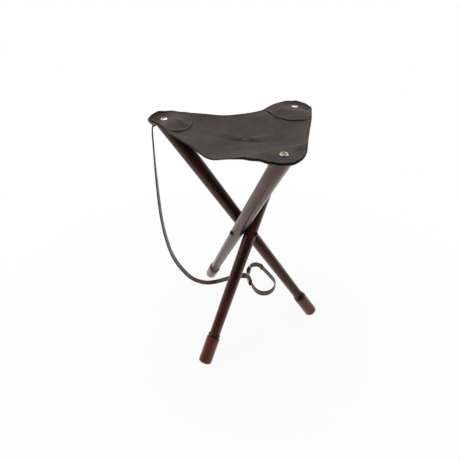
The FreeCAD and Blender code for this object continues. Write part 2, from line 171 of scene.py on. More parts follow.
def drawnNoise(tree, place, factors, **settings):
    # noise in a space drawn out along the axes with small factors
    node = addNode(tree, "ShaderNodeVectorMath", operation="MULTIPLY")
    tree.links.new(place, node.inputs[0])
    node.inputs[1].default_value = factors
    return noiseNode(tree, node.outputs["Vector"], **settings)


def cellDistance(tree, place, feature, values):
    node = addNode(tree, "ShaderNodeTexVoronoi", feature=feature)
    tree.links.new(place, node.inputs["Vector"])
    setInputs(node, values)
    return node.outputs["Distance"]


def rampNode(tree, value, stops, colours):
    node = addNode(tree, "ShaderNodeValToRGB")
    ramp = node.color_ramp
    while len(ramp.elements) < len(stops):
        ramp.elements.new(0.5)
    for element, place, colour in zip(ramp.elements, stops, colours):
        element.position = place
        element.color = colour
    tree.links.new(value, node.inputs["Fac"])
    return node.outputs["Color"]


def mixColour(tree, share, first, second):
    node = addNode(tree, "ShaderNodeMix", data_type="RGBA")
    for index, value in ((0, share), (6, first), (7, second)):  # the share and the two colour sockets
        feed(tree, value, node.inputs[index])
    return node.outputs[2]  # the colour


def rangeNode(tree, value, given, wanted):
    node = addNode(tree, "ShaderNodeMapRange")
    tree.links.new(value, node.inputs["Value"])
    names = ("From Min", "From Max", "To Min", "To Max")
    setInputs(node, dict(zip(names, (*given, *wanted))))
    return node.outputs["Result"]


def newMaterial(name):
    material = bpy.data.materials.new(name)
    material.use_nodes = True
    tree = material.node_tree
    shader = next(n for n in tree.nodes if n.type == "BSDF_PRINCIPLED")
    return material, tree, shader


def attributeOutput(tree, name, output="Fac"):
    node = addNode(tree, "ShaderNodeAttribute", attribute_name=name)
    return node.outputs[output]


def objectPlace(tree):
    return addNode(tree, "ShaderNodeTexCoord").outputs["Object"]


def dressShader(tree, shader, colour, rough, height, bump):
    node = addNode(tree, "ShaderNodeBump")
    setInputs(node, dict(zip(("Strength", "Distance"), bump)))
    tree.links.new(height, node.inputs["Height"])
    sources = {"Base Color": colour, "Roughness": rough, "Normal": node.outputs["Normal"]}
    for name, source in sources.items():
        tree.links.new(source, shader.inputs[name])


# Camera at the photograph's place
cameraSet = {
    "place": (0.0380, -0.6907, 0.7158),
    "aim": (-0.03013, -0.02405, 0.27876),
    "rollDegrees": -0.2645,
    "lens": 28.39,
    "sensorWidth": 36.0,
}


def setCamera():
    data = bpy.data.cameras.new("photoCamera")
    data.lens = cameraSet["lens"]
    data.sensor_width = cameraSet["sensorWidth"]
    data.sensor_fit = "HORIZONTAL"
    camera = newPiece("photoCamera", data)
    place = np.array(cameraSet["place"])
    ahead = unit(np.array(cameraSet["aim"]) - place)
    right = unit(np.cross(ahead, up))
    above = np.cross(right, ahead)
    roll = math.radians(cameraSet["rollDegrees"])
    rolledRight = right * math.cos(roll) + above * math.sin(roll)
    rolledUp = above * math.cos(roll) - right * math.sin(roll)
    turn = Matrix([rolledRight, rolledUp, -ahead]).transposed().to_4x4()
    camera.matrix_world = Matrix.Translation(place) @ turn
    bpy.context.scene.camera = camera


setCamera()
print("camera set")


# Shared effects: leather grain, wood grain and handling marks on metal
def newGroup(name, scales, outputs):
    group = bpy.data.node_groups.new(name, "ShaderNodeTree")
    group.interface.new_socket(name="Place", in_out="INPUT", socket_type="NodeSocketVector")
    for label in scales:
        group.interface.new_socket(name=label, in_out="INPUT", socket_type="NodeSocketFloat")
    for label in outputs:
        group.interface.new_socket(name=label, in_out="OUTPUT", socket_type="NodeSocketFloat")
    return group, addNode(group, "NodeGroupInput"), addNode(group, "NodeGroupOutput")


def giveResults(group, result, values):
    for name, value in values.items():
        group.links.new(value, result.inputs[name])


def scaledPlace(group, given, scale):
    node = addNode(group, "ShaderNodeVectorMath", operation="SCALE")
    group.links.new(given.outputs["Place"], node.inputs[0])
    group.links.new(given.outputs[scale], node.inputs["Scale"])
    return node.outputs["Vector"]


def buildHideGrain():
    group, given, result = newGroup("hideGrain", ["Pebble Scale", "Cloud Scale"], ["Tone", "Height"])
    clouds = scaledPlace(group, given, "Cloud Scale")
    pebbles = scaledPlace(group, given, "Pebble Scale")
    broad = noiseNode(group, clouds, scale=1.0, detail=5.0, roughness=0.6, distortion=0.4)
    fine = noiseNode(group, clouds, scale=7.0, detail=4.0, roughness=0.6)
    cells = cellDistance(group, pebbles, "SMOOTH_F1", {"Smoothness": 0.6, "Scale": 1.0})
    warp = noiseNode(group, pebbles, scale=0.35, detail=3.0, roughness=0.6)
    creases = cellDistance(group, pebbles, "DISTANCE_TO_EDGE", {"Scale": 0.22})
    lines = rangeNode(group, creases, (0.0, 0.12), (0.0, 1.0))
    tone = weightedSum(group, (broad, 0.7), (fine, 0.3))
    height = weightedSum(group, (cells, 0.6), (warp, 0.6), (lines, 0.35))
    giveResults(group, result, {"Tone": tone, "Height": height})
    return group


def buildWoodGrain():
    group, given, result = newGroup("woodGrain", [], ["Streak", "Pores", "Height"])
    place = given.outputs["Place"]
    bands = drawnNoise(group, place, (1.0, 1.0, 0.09), scale=90.0, detail=5.0, roughness=0.6, distortion=0.6)
    fibres = drawnNoise(group, place, (1.0, 1.0, 0.03), scale=520.0, detail=4.0, roughness=0.6)
    mottle = drawnNoise(group, place, (1.0, 1.0, 0.35), scale=34.0, detail=4.0, roughness=0.6, distortion=0.8)
    flecks = drawnNoise(group, place, (1.0, 1.0, 0.07), scale=1500.0, detail=2.0, roughness=0.5)
    streak = weightedSum(group, (bands, 0.45), (fibres, 0.2), (mottle, 0.35))
    pores = rangeNode(group, flecks, (0.60, 0.70), (0.0, 1.0))
    height = weightedSum(group, (fibres, 0.6), (pores, -0.5))
    giveResults(group, result, {"Streak": streak, "Pores": pores, "Height": height})
    return group


def buildHandling():
    group, given, result = newGroup("handlingMarks", [], ["Smudge", "Scratch"])
    place = given.outputs["Place"]
    smudge = noiseNode(group, place, scale=180.0, detail=5.0, roughness=0.6, distortion=0.5)
    scratch = drawnNoise(group, place, (1.0, 0.12, 0.6), scale=2600.0, detail=2.0, roughness=0.5)
    giveResults(group, result, {"Smudge": smudge, "Scratch": scratch})
    return group


hideGrain = buildHideGrain()
woodGrain = buildWoodGrain()
handlingMarks = buildHandling()


def placeGroup(tree, group, place):
    node = addNode(tree, "ShaderNodeGroup", node_tree=group)
    tree.links.new(place, node.inputs["Place"])
    return node


# Leathers: one finish for the seat, one for the strap and collar
seatFinish = {
    "dark": rgb(26, 18, 15),
    "middle": rgb(42, 31, 25),
    "light": rgb(62, 47, 40),
    "cutEdge": rgb(14, 10, 8),
    # the worn colour, also used for the painted highlight on the seat's fold crests
    "worn": rgb(80, 58, 47),
    # the rim colour, also used for the painted shade in the seat's fold creases
    "rim": rgb(24, 17, 14),
    "roughness": (0.60, 0.40),
    "specular": 0.15,
    "scales": {"Pebble Scale": 900.0, "Cloud Scale": 9.0},
    "bump": (0.35, 0.00035),
}
strapFinish = {
    "dark": rgb(54, 39, 33),
    "middle": rgb(86, 65, 56),
    "light": rgb(114, 91, 80),
    "cutEdge": rgb(26, 17, 13),
    "worn": rgb(116, 96, 86),
    "rim": rgb(26, 17, 13),
    "roughness": (0.60, 0.36),
    "specular": 0.25,
    "scales": {"Pebble Scale": 1100.0, "Cloud Scale": 30.0},
    "bump": (0.35, 0.0003),
}
leatherSet = {
    "stops": (0.30, 0.50, 0.72),
    "wornTones": (0.3, 0.7),
    "wornShares": (0.2, 0.8),
    "roughTones": (0.3, 0.75),
    "rimShare": 0.7,
}


def finishRamp(tree, tone, stops, finish):
    return rampNode(tree, tone, stops, (finish["dark"], finish["middle"], finish["light"]))


def leatherMaterial(name, finish):
    material, tree, shader = newMaterial(name)
    grain = placeGroup(tree, hideGrain, attributeOutput(tree, "hidePlace", "Vector"))
    setInputs(grain, finish["scales"])
    tone = grain.outputs["Tone"]
    colour = finishRamp(tree, tone, leatherSet["stops"], finish)
    # the handled mark carries wear, and on the seat's fold crests a painted highlight
    wearable = rangeNode(tree, tone, leatherSet["wornTones"], leatherSet["wornShares"])
    worn = mathNode(tree, "MULTIPLY", attributeOutput(tree, "handled"), wearable, clamp=True)
    colour = mixColour(tree, worn, colour, finish["worn"])
    # the rimShade mark darkens the rim band and puts painted shade in the seat's fold creases
    rim = mathNode(tree, "MULTIPLY", attributeOutput(tree, "rimShade"), leatherSet["rimShare"])
    colour = mixColour(tree, rim, colour, finish["rim"])
    colour = mixColour(tree, attributeOutput(tree, "cutEdge"), colour, finish["cutEdge"])
    rough = rangeNode(tree, tone, leatherSet["roughTones"], finish["roughness"])
    dressShader(tree, shader, colour, rough, grain.outputs["Height"], finish["bump"])
    setInputs(shader, {"Specular IOR Level": finish["specular"]})
    return material


seatLeather = leatherMaterial("seatLeather", seatFinish)
strapLeather = leatherMaterial("strapLeather", strapFinish)

# Thread, wood and metals
threadFinish = {
    "stops": (0.3, 0.7),
    "colours": (rgb(96, 58, 38), rgb(150, 98, 66)),
    "roughness": (0.5, 0.75),
    "specular": 0.3,
    "cloudScale": 900.0,
    "twistScale": 4200.0,
    "bump": (0.5, 0.0002),
}
woodFinish = {
    "stops": (0.40, 0.50, 0.62),
    "dark": rgb(20, 9, 6),
    "middle": rgb(40, 18, 12),
    "light": rgb(82, 39, 26),
    "pore": rgb(12, 7, 5),
    "poreShare": 0.7,
    "foot": rgb(118, 61, 42),
    "footShare": 0.8,
    # painted shade in the groove between shank and foot, and above it
    "stain": rgb(14, 8, 6),
    "roughStreaks": (0.35, 0.7),
    "roughness": (0.44, 0.24),
    "lacquer": {
        "IOR": 1.42,
        "Specular Tint": rgb(255, 186, 172),
        "Coat Weight": 0.2,
        "Coat IOR": 1.34,
        "Coat Roughness": 0.26,
    },
    "bump": (0.22, 0.0003),
}
metalSet = {
    "stops": (0.38, 0.58),
    "roughSmudges": (0.35, 0.65),
    "bump": (0.12, 0.0002),
}


def threadMaterial():
    material, tree, shader = newMaterial("waxedThread")
    place = objectPlace(tree)
    tone = noiseNode(tree, place, scale=threadFinish["cloudScale"], detail=3.0)
    colour = rampNode(tree, tone, threadFinish["stops"], threadFinish["colours"])
    rough = rangeNode(tree, tone, threadFinish["stops"], threadFinish["roughness"])
    twist = noiseNode(tree, place, scale=threadFinish["twistScale"], detail=1.0)
    dressShader(tree, shader, colour, rough, twist, threadFinish["bump"])
    setInputs(shader, {"Specular IOR Level": threadFinish["specular"]})
    return material


def stainedWoodMaterial():
    material, tree, shader = newMaterial("stainedWood")
    grain = placeGroup(tree, woodGrain, attributeOutput(tree, "grainPlace", "Vector"))
    streak = grain.outputs["Streak"]
    colour = finishRamp(tree, streak, woodFinish["stops"], woodFinish)
    pores = mathNode(tree, "MULTIPLY", grain.outputs["Pores"], woodFinish["poreShare"])
    colour = mixColour(tree, pores, colour, woodFinish["pore"])
    worn = mathNode(tree, "MULTIPLY", attributeOutput(tree, "handled"), woodFinish["footShare"])
    colour = mixColour(tree, worn, colour, woodFinish["foot"])
    # painted shade in and above the groove
    colour = mixColour(tree, attributeOutput(tree, "stainPool"), colour, woodFinish["stain"])
    rough = rangeNode(tree, streak, woodFinish["roughStreaks"], woodFinish["roughness"])
    dressShader(tree, shader, colour, rough, grain.outputs["Height"], woodFinish["bump"])
    setInputs(shader, woodFinish["lacquer"])
    return material


def metalMaterial(name, dull, bright, roughness, metallic):
    material, tree, shader = newMaterial(name)
    marks = placeGroup(tree, handlingMarks, objectPlace(tree))
    smudge = marks.outputs["Smudge"]
    colour = rampNode(tree, smudge, metalSet["stops"], (dull, bright))
    rough = rangeNode(tree, smudge, metalSet["roughSmudges"], roughness)
    dressShader(tree, shader, colour, rough, marks.outputs["Scratch"], metalSet["bump"])
    setInputs(shader, {"Metallic": metallic})
    return material


waxedThread = threadMaterial()
stainedWood = stainedWoodMaterial()
nickelPlate = metalMaterial("nickelPlate", rgb(176, 170, 160), rgb(226, 222, 214), (0.34, 0.16), 1.0)
screwBrass = metalMaterial("screwBrass", rgb(92, 62, 34), rgb(150, 112, 62), (0.48, 0.26), 1.0)
blackenedSteel = metalMaterial("blackenedSteel", rgb(18, 17, 17), rgb(34, 33, 33), (0.52, 0.32), 0.6)
print("materials made")


# Carry strap and collar: routes from the part's source in metres
strapSet = {
    "width": 0.016,
    "thick": 0.0025,
    "edgeRound": 0.0008,
    "cornerSteps": 4,
    "steps": 14,
    "length": 0.718,
    "sharpDegrees": 50.0,
    "handled": 0.15,
    # the cut edges' shade begins in from the side and fills up over a run, in shares of the round
    "shadeStart": 0.9,
    "shadeRun": 0.6,
    # the hanging part is twisted by this many degrees at its top, over these heights
    "topTwist": -14.0,
    "twistRange": (0.30, 0.48),
    "swingStart": (-0.19, 0.06, 0.12),
    "swingEnd": (-0.19, 0.018, 0.46),
    # place and tip from lying flat in degrees, or hanging with the width to the back
    "route": [
        (-0.1561, 0.0176, 0.4999, "hang"),
        (-0.1882, 0.0176, 0.4974, "hang"),
        (-0.1925, 0.0179, 0.4868, "hang"),
        (-0.1942, 0.0188, 0.4460, "hang"),
        (-0.1963, 0.0198, 0.4000, "hang"),
        (-0.1978, 0.0213, 0.3420, "hang"),
        (-0.1988, 0.0241, 0.2860, "hang"),
        (-0.1980, 0.0307, 0.2340, "hang"),
        (-0.1960, 0.0419, 0.1860, "hang"),
        (-0.1930, 0.0570, 0.1395, "hang"),
        (-0.1857, 0.0745, 0.0965, "hang"),
        (-0.1748, 0.0910, 0.0570, "hang"),
        (-0.1585, 0.1030, 0.0230, "hang"),
        (-0.1390, 0.1090, 0.0060, 0.0),
        (-0.1140, 0.1085, 0.0016, 0.0),
        (-0.0900, 0.1150, 0.0015, 0.0),
        (-0.0660, 0.1270, 0.0015, 0.0),
        (-0.0440, 0.1400, 0.0015, 0.0),
        (-0.0270, 0.1455, 0.0016, 4.0),
        (-0.0124, 0.1470, 0.0052, 30.0),
        (-0.0045, 0.1454, 0.0080, 62.0),
        (0.0011, 0.1420, 0.0097, 90.0),
        (0.0055, 0.1361, 0.0108, 90.0),
        (0.0075, 0.1299, 0.0108, 90.0),
    ],
}
collarSet = {
    "length": 0.327,
    "route": [
        (0.0120, 0.1685, 0.0114),
        (0.0082, 0.1545, 0.0114),
        (0.0076, 0.1380, 0.0108),
        (0.0186, 0.1055, 0.0108),
        (0.0260, 0.0900, 0.0096),
        (0.0355, 0.0780, 0.0088),
        (0.0475, 0.0720, 0.0084),
        (0.0605, 0.0730, 0.0084),
        (0.0720, 0.0795, 0.0084),
        (0.0805, 0.0905, 0.0084),
        (0.0860, 0.1040, 0.0084),
        (0.0870, 0.1180, 0.0085),
        (0.0825, 0.1325, 0.0088),
        (0.0735, 0.1470, 0.0090),
        (0.0615, 0.1645, 0.0097),
        (0.0495, 0.1815, 0.0105),
        (0.0405, 0.1933, 0.0107),
        (0.0321, 0.1971, 0.0110),
        (0.0229, 0.1964, 0.0112),
        (0.0144, 0.1907, 0.0114),
        (0.0073, 0.1786, 0.0114),
        (0.0032, 0.1678, 0.0114),
        (0.0014, 0.1620, 0.0114),
    ],
    "sleeveRun": 2,
    "sleeveLength": 0.024,
    "sleeveWall": 0.0020,
    "keeperRun": 15,
    "keeperLength": 0.008,
    "keeperWall": 0.0016,
    "keeperSlack": 0.0005,
    "fitGap": 0.00015,
    "loopSoft": 0.0006,
    "loopRound": 0.0008,
    "loopSteps": 5,
    # rows along a loop's outer and inner walls
    "wallRows": (9, 5),
    # rows round a loop's end: how far back in shares of the soft edge, and how far out through the wall
    "loopEnd": ((0.15, 0.8), (0.0, 0.5), (0.15, 0.2)),
    "loopHandled": 0.1,
    "wireRadius": 0.0012,
    "chapeReturn": 0.015,
    "chapeTurn": 1.04,
    "chapeSteps": 10,
}


def routeLine(places, steps):
    data = bpy.data.curves.new("route", "CURVE")
    data.dimensions = "3D"
    data.resolution_u = steps
    spline = data.splines.new("NURBS")
    spline.points.add(len(places) - 1)
    for point, place in zip(spline.points, places):
        point.co = (*place, 1.0)
    spline.order_u = 3
    spline.use_endpoint_u = True
    carrier = newPiece("route", data)
    mesh = plainMesh(carrier)
    line = np.array([v.co for v in mesh.vertices])
    dropPiece(carrier)
    return line


def roundedSection(low, high, tall, radius, steps):
    # a rectangle with round corners, from low to high across and tall above and below its middle
    section = []
    for edgeX, edgeY, start in ((high, tall, 0), (low, tall, 90), (low, -tall, 180), (high, -tall, 270)):
        middleX = edgeX - math.copysign(radius, edgeX - (low + high) / 2)
        middleY = edgeY - math.copysign(radius, edgeY)
        for step in range(steps + 1):
            angle = math.radians(start + 90 * step / steps)
            section.append((middleX + radius * math.cos(angle), middleY + radius * math.sin(angle)))
    return section


def leatherPiece(name, places, faces, hides, edges, handled):
    mesh = newMesh(name, places, faces, strapLeather)
    setMarks(mesh, hidePlace=hides, cutEdge=edges, handled=np.full(len(places), handled))
    return newPiece(name, mesh)


def sweepBand(name, centres, rails):
    # a flat band along the centres, with its width turned towards the rails
    width, edgeRound = strapSet["width"], strapSet["edgeRound"]
    ways = np.gradient(centres, axis=0)
    ways /= np.linalg.norm(ways, axis=1)[:, None]
    across = rails - centres
    across -= ways * np.sum(across * ways, axis=1)[:, None]
    across /= np.linalg.norm(across, axis=1)[:, None]
    outs = np.cross(ways, across)
    along = np.concatenate([[0.0], np.cumsum(np.linalg.norm(np.diff(centres, axis=0), axis=1))])
    section = roundedSection(-width / 2, width / 2, strapSet["thick"] / 2, edgeRound, strapSet["cornerSteps"])
    places, hides, edges = [], [], []
    for place, side, out, distance in zip(centres, across, outs, along):
        for a, b in section:
            places.append(place + side * a + out * b)
            hides.append((distance, a, b))
            inEdge = abs(a) - width / 2 + strapSet["shadeStart"] * edgeRound
            edges.append(float(np.clip(inEdge / (strapSet["shadeRun"] * edgeRound), 0, 1)))
    count = len(section)
    faces = ringFaces(len(centres), count)
    faces.append(tuple(range(count)))
    faces.append(tuple(len(places) - count + k for k in range(count)))
    band = leatherPiece(name, places, faces, hides, edges, strapSet["handled"])
    band.data.set_sharp_from_angle(angle=math.radians(strapSet["sharpDegrees"]))
    return band


def strapAcross(route):
    # the points of the route, and at each the way its width lies
    places = np.array([r[:3] for r in route])
    low, high = strapSet["twistRange"]
    directions = []
    for index, (x, y, z, tip) in enumerate(route):
        if tip == "hang":
            twist = math.radians(strapSet["topTwist"]) * float(smoothStep((z - low) / (high - low)))
            directions.append((math.sin(twist), math.cos(twist), 0.0))
            continue
        ahead = places[min(index + 1, len(route) - 1)] - places[index - 1]
        level = unit(np.cross(up, ahead))
        directions.append(level * math.cos(math.radians(tip)) + up * math.sin(math.radians(tip)))
    return places, np.array(directions)


def makeStrap():
    places, directions = strapAcross(strapSet["route"])
    centres = routeLine(places, strapSet["steps"])
    rails = routeLine(places + directions * strapSet["width"] / 2, strapSet["steps"])
    return sweepBand("carryStrap", centres, rails), centres


def makeBelt():
    centres = routeLine(np.array(collarSet["route"]), strapSet["steps"])
    return sweepBand("collarBelt", centres, centres + up * strapSet["width"] / 2), centres


def beltRun(number):
    first, last = [np.array(p) for p in collarSet["route"][number:number + 2]]
    way = unit((last - first) * (1, 1, 0))
    return (first + last) / 2, way, np.cross(up, way)


def loopRows(length):
    # along the outer wall, round one end, back along the inner wall and round the other end
    half, soft = length / 2, collarSet["loopSoft"]
    outerRows, innerRows = collarSet["wallRows"]
    end = [(half - back * soft, share) for back, share in collarSet["loopEnd"]]
    rows = [(x, 1.0) for x in np.linspace(-half + soft, half - soft, outerRows)] + end
    rows += [(x, 0.0) for x in np.linspace(half - soft, -half + soft, innerRows)]
    return rows + [(-x, share) for x, share in reversed(end)]


def leatherLoop(name, run, nearRoom, farRoom, wall, length):
    # a closed loop round the belt, with room for the layers on either side of its middle
    middle, way, side = beltRun(run)
    tall = (strapSet["width"] + 2 * collarSet["fitGap"]) / 2
    rows = loopRows(length)
    places, hides, edges = [], [], []
    for x, share in rows:
        grow = wall * share
        radius = collarSet["loopRound"] + grow
        ring = roundedSection(-nearRoom - grow, farRoom + grow, tall + grow, radius, collarSet["loopSteps"])
        for a, b in ring:
            places.append(middle + way * x + side * a + up * b)
            hides.append((x, a + b, b - a))
            edges.append(float(0.0 < share < 1.0))
    faces = ringFaces(len(rows), len(places) // len(rows), closed=True)
    return leatherPiece(name, places, faces, hides, edges, collarSet["loopHandled"])


def makeChape():
    # the belt's end, turned back round the buckle's bar
    first, second = [np.array(p) for p in collarSet["route"][:2]]
    way = unit((first - second) * (1, 1, 0))
    side = np.cross(up, way)
    layer = strapSet["thick"] / 2 + collarSet["wireRadius"] + collarSet["fitGap"]
    heel = first + side * layer
    turn = collarSet["chapeTurn"] * layer
    back = collarSet["chapeReturn"]
    local = [(-layer, 0), (-layer, turn), (layer, turn), (layer, 0), (layer, -back / 2), (layer, -back)]
    centres = routeLine([heel + side * a + way * b for a, b in local], collarSet["chapeSteps"])
    return sweepBand("buckleChape", centres, centres + up * strapSet["width"] / 2)


def makeStrapAndCollar():
    strap, strapLine = makeStrap()
    belt, beltLine = makeBelt()
    thick, gap = strapSet["thick"], collarSet["fitGap"]
    # the sleeve goes round the belt and the strap's end beside it, and the keeper round the belt alone
    sleeve = leatherLoop("strapEndSleeve", collarSet["sleeveRun"], 1.5 * thick + 2 * gap, thick / 2 + gap,
                         collarSet["sleeveWall"], collarSet["sleeveLength"])
    keeperRoom = thick / 2 + collarSet["keeperSlack"]
    keeper = leatherLoop("beltKeeper", collarSet["keeperRun"], keeperRoom, keeperRoom,
                         collarSet["keeperWall"], collarSet["keeperLength"])
    chape = makeChape()
    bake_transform(strap)
    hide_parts("carry_strap")
    collar = {"collar_belt": belt, "strap_end_sleeve": sleeve, "belt_keeper": keeper, "buckle_chape": chape}
    for node, piece in collar.items():
        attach(piece, "hub")
        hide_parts(node)


makeStrapAndCollar()
print("strap and collar made")


# Turned legs
legSet = {
    "tilt": 35.0,
    "cornerTilt": 3.0,
    "hubReach": 0.0176,
    "hubHeight": 0.26478991788,
    "above": 0.288,
    "below": 0.3155,
    "topRadius": 0.0164,
    "topRound": 0.0025,
    "topRun": 0.02,
    # rings of the top: up towards the bevel, round its edge, and in over its flat end
    "bevelShares": (0.25, 0.5, 0.75, 1.0),
    "topRoundSteps": 5,
    "endShares": (0.6, 0.25),
    "footRadius": 0.0152,
    "footShares": (0.3, 0.65, 0.9, 1.0),
    "footSideSteps": 8,
    "footEdge": 0.004,
    "footEdgeSteps": 7,
    "shoulderRadius": 0.0144,
    "groove": -0.2525,
    "grooveHalf": 0.0022,
    "grooveDepth": 0.0018,
    # how far below the groove and in from the foot's side its lip lies
    "footLip": ((0.0004, 0.00015), (0.0, 0.0006)),
    # places across the groove in half widths, and shares of its depth there
    "grooveShares": ((-0.4, 0.85), (0.0, 1.0), (0.5, 0.75)),
    # how far above the groove and in from the shoulder its lip lies
    "shoulderLip": ((0.0, 0.0004), (0.0006, 0.0)),
    "footSideEnd": 0.0012,
    "ankle": -0.2423,
    "ankleRadius": 0.0119,
    # the flare from shoulder to ankle is partly straight and partly eased at its ends
    "flareStart": 0.1,
    "flareSteps": 9,
    "flareEase": 0.5,
    "shankSteps": 34,
    "spotFace": 0.012759,
    "spotRadius": 0.0071,
    "spotLength": 0.02,
    "boreRadius": 0.00305,
    "boreLength": 0.06,
    "screwRadius": 0.0023,
    "screwDepth": 0.019,
    "screwLength": 0.04,
    "drillSides": 40,
    "strapDrop": 0.0028,
    "sides": 72,
    "sharpDegrees": 38.0,
}
legWear = {
    # each leg's grain is read from another place along this way
    "grainShift": {"left": 0.0, "front": 0.31, "rear": 0.67},
    "grainWay": (1.0, 0.5, 1.0),
    "footRun": 0.006,
    "footWear": 0.55,
    "rimWear": 0.5,
    "rimWidth": 0.0006,
    "rimReach": 0.004,
    # painted shade about the groove: its middle above the groove, its width, how far below the groove it
    # begins, and its strength
    "grooveShadePlace": 0.002,
    "grooveShadeWidth": 0.0034,
    "grooveShadeStart": -0.0018,
    "grooveShadeShare": 0.9,
}
legArms = {"left": 90.0, "front": 210.0, "rear": 330.0}
tilt = math.radians(legSet["tilt"])
cornerTilt = math.radians(legSet["cornerTilt"])


def legFrame(name):
    angle = math.radians(legArms[name])
    arm = np.array([math.cos(angle), math.sin(angle), 0.0])
    lean = np.cross(up, arm)
    axis = up * math.cos(tilt) + lean * math.sin(tilt)
    outer = lean * math.cos(tilt) - up * math.sin(tilt)
    pivot = arm * legSet["hubReach"] + up * legSet["hubHeight"]
    return arm, lean, axis, outer, pivot


def shankRadius(height):
    taper = (legSet["topRadius"] - legSet["ankleRadius"]) / (legSet["above"] - legSet["ankle"])
    return legSet["ankleRadius"] + taper * (height - legSet["ankle"])


def legProfile():
    # heights along the axis and radii, from the foot's flat end up to where the bevelled top begins
    foot, edge, below = legSet["footRadius"], legSet["footEdge"], legSet["below"]
    groove, half, depth = legSet["groove"], legSet["grooveHalf"], legSet["grooveDepth"]
    shoulder, ankle = legSet["shoulderRadius"], legSet["ankle"]
    rows = [(-below, share * (foot - edge)) for share in legSet["footShares"]]
    for step in range(1, legSet["footEdgeSteps"] + 1):
        angle = math.radians(90 * step / legSet["footEdgeSteps"])
        rows.append((-below + edge - edge * math.cos(angle), foot - edge + edge * math.sin(angle)))
    sideEnd = groove - half - legSet["footSideEnd"]
    for height in np.linspace(-below + edge, sideEnd, legSet["footSideSteps"])[1:]:
        rows.append((height, foot))
    rows += [(groove - half - down, foot - inward) for down, inward in legSet["footLip"]]
    rows += [(groove + place * half, shoulder - share * depth) for place, share in legSet["grooveShares"]]
    rows += [(groove + half + rise, shoulder - inward) for rise, inward in legSet["shoulderLip"]]
    ease = legSet["flareEase"]
    for share in np.linspace(legSet["flareStart"], 1.0, legSet["flareSteps"]):
        fall = (1 - ease) * share + ease * float(smoothStep(share))
        rows.append((groove + half + share * (ankle - groove - half),
                     shoulder + fall * (legSet["ankleRadius"] - shoulder)))
    for height in np.linspace(ankle, legSet["above"] - legSet["topRun"], legSet["shankSteps"])[1:]:
        rows.append((height, shankRadius(height)))
    return rows


def topRings(angles, end):
    # rings that tilt more and more towards the bevel, its rounded edge, and the flat end
    bevel = math.tan(tilt - cornerTilt)
    low = legSet["above"] - legSet["topRun"]
    wide, edge = legSet["topRadius"], legSet["topRound"]
    rings = []
    for share in legSet["bevelShares"]:
        highs = [end + wide * math.sin(angle) * bevel - edge for angle in angles]
        heights = [low + share * (high - low) for high in highs]
        rings.append([(height, shankRadius(height)) for height in heights])
    for step in range(1, legSet["topRoundSteps"] + 1):
        turn = math.radians(90 * step / legSet["topRoundSteps"])
        radius = wide - edge * (1 - math.cos(turn))
        drop = edge * (1 - math.sin(turn))
        rings.append([(end + radius * math.sin(angle) * bevel - drop, radius) for angle in angles])
    for share in legSet["endShares"]:
        radius = share * (wide - edge)
        rings.append([(end + radius * math.sin(angle) * bevel, radius) for angle in angles])
    return rings


def legPlaces(name, end):
    arm, lean, axis, outer, pivot = legFrame(name)
    sides = legSet["sides"]
    angles = [2 * math.pi * k / sides for k in range(sides)]
    rings = [[row] * sides for row in legProfile()] + topRings(angles, end)
    places = []
    for ring in rings:
        for angle, (height, radius) in zip(angles, ring):
            aside = arm * radius * math.cos(angle)
            places.append(pivot + axis * height + aside + outer * radius * math.sin(angle))
    places += [pivot - axis * legSet["below"], pivot + axis * end]
    places = np.array(places)
    places[:, 2] = np.maximum(places[:, 2], 0.0)  # worn flat at the floor
    return places, len(rings)


def legBlank(name, end):
    places, ringCount = legPlaces(name, end)
    sides = legSet["sides"]
    faces = ringFaces(ringCount, sides)
    bottom, top = ringCount * sides, ringCount * sides + 1
    lastRing = (ringCount - 1) * sides
    for k in range(sides):
        after = (k + 1) % sides
        faces.append((bottom, after, k))
        faces.append((top, lastRing + k, lastRing + after))
    return newPiece("legBlank", newMesh("leg_" + name, places, faces, stainedWood))


def drillCutter(start, way, length, radius):
    shell = bmesh.new()
    bmesh.ops.create_cone(shell, cap_ends=True, segments=legSet["drillSides"], radius1=radius, radius2=radius,
                          depth=length)
    turn = Vector((0, 0, 1)).rotation_difference(Vector(way)).to_matrix().to_4x4()
    move = Matrix.Translation(Vector(start + way * length / 2)) @ turn
    bmesh.ops.transform(shell, matrix=move, verts=shell.verts)
    mesh = bpy.data.meshes.new("drill")
    shell.to_mesh(mesh)
    shell.free()
    return newPiece("drill", mesh)


def drilledLeg(name, end):
    # the blank with its spot face and bore for the stud, and the screw's hole in the top
    blank = legBlank(name, end)
    arm, lean, axis, outer, pivot = legFrame(name)
    normal = up * math.cos(cornerTilt) + lean * math.sin(cornerTilt)
    screwStart = pivot + axis * end - normal * legSet["screwDepth"]
    cutters = [
        drillCutter(pivot + arm * legSet["spotFace"], arm, legSet["spotLength"], legSet["spotRadius"]),
        drillCutter(pivot - arm * legSet["boreLength"] / 2, arm, legSet["boreLength"], legSet["boreRadius"]),
        drillCutter(screwStart, normal, legSet["screwLength"], legSet["screwRadius"]),
    ]
    for cutter in cutters:
        drill = blank.modifiers.new("drill", "BOOLEAN")
        drill.operation = "DIFFERENCE"
        drill.solver = "EXACT"
        drill.object = cutter
    mesh = plainMesh(blank)
    for piece in [blank] + cutters:
        dropPiece(piece)
    return mesh


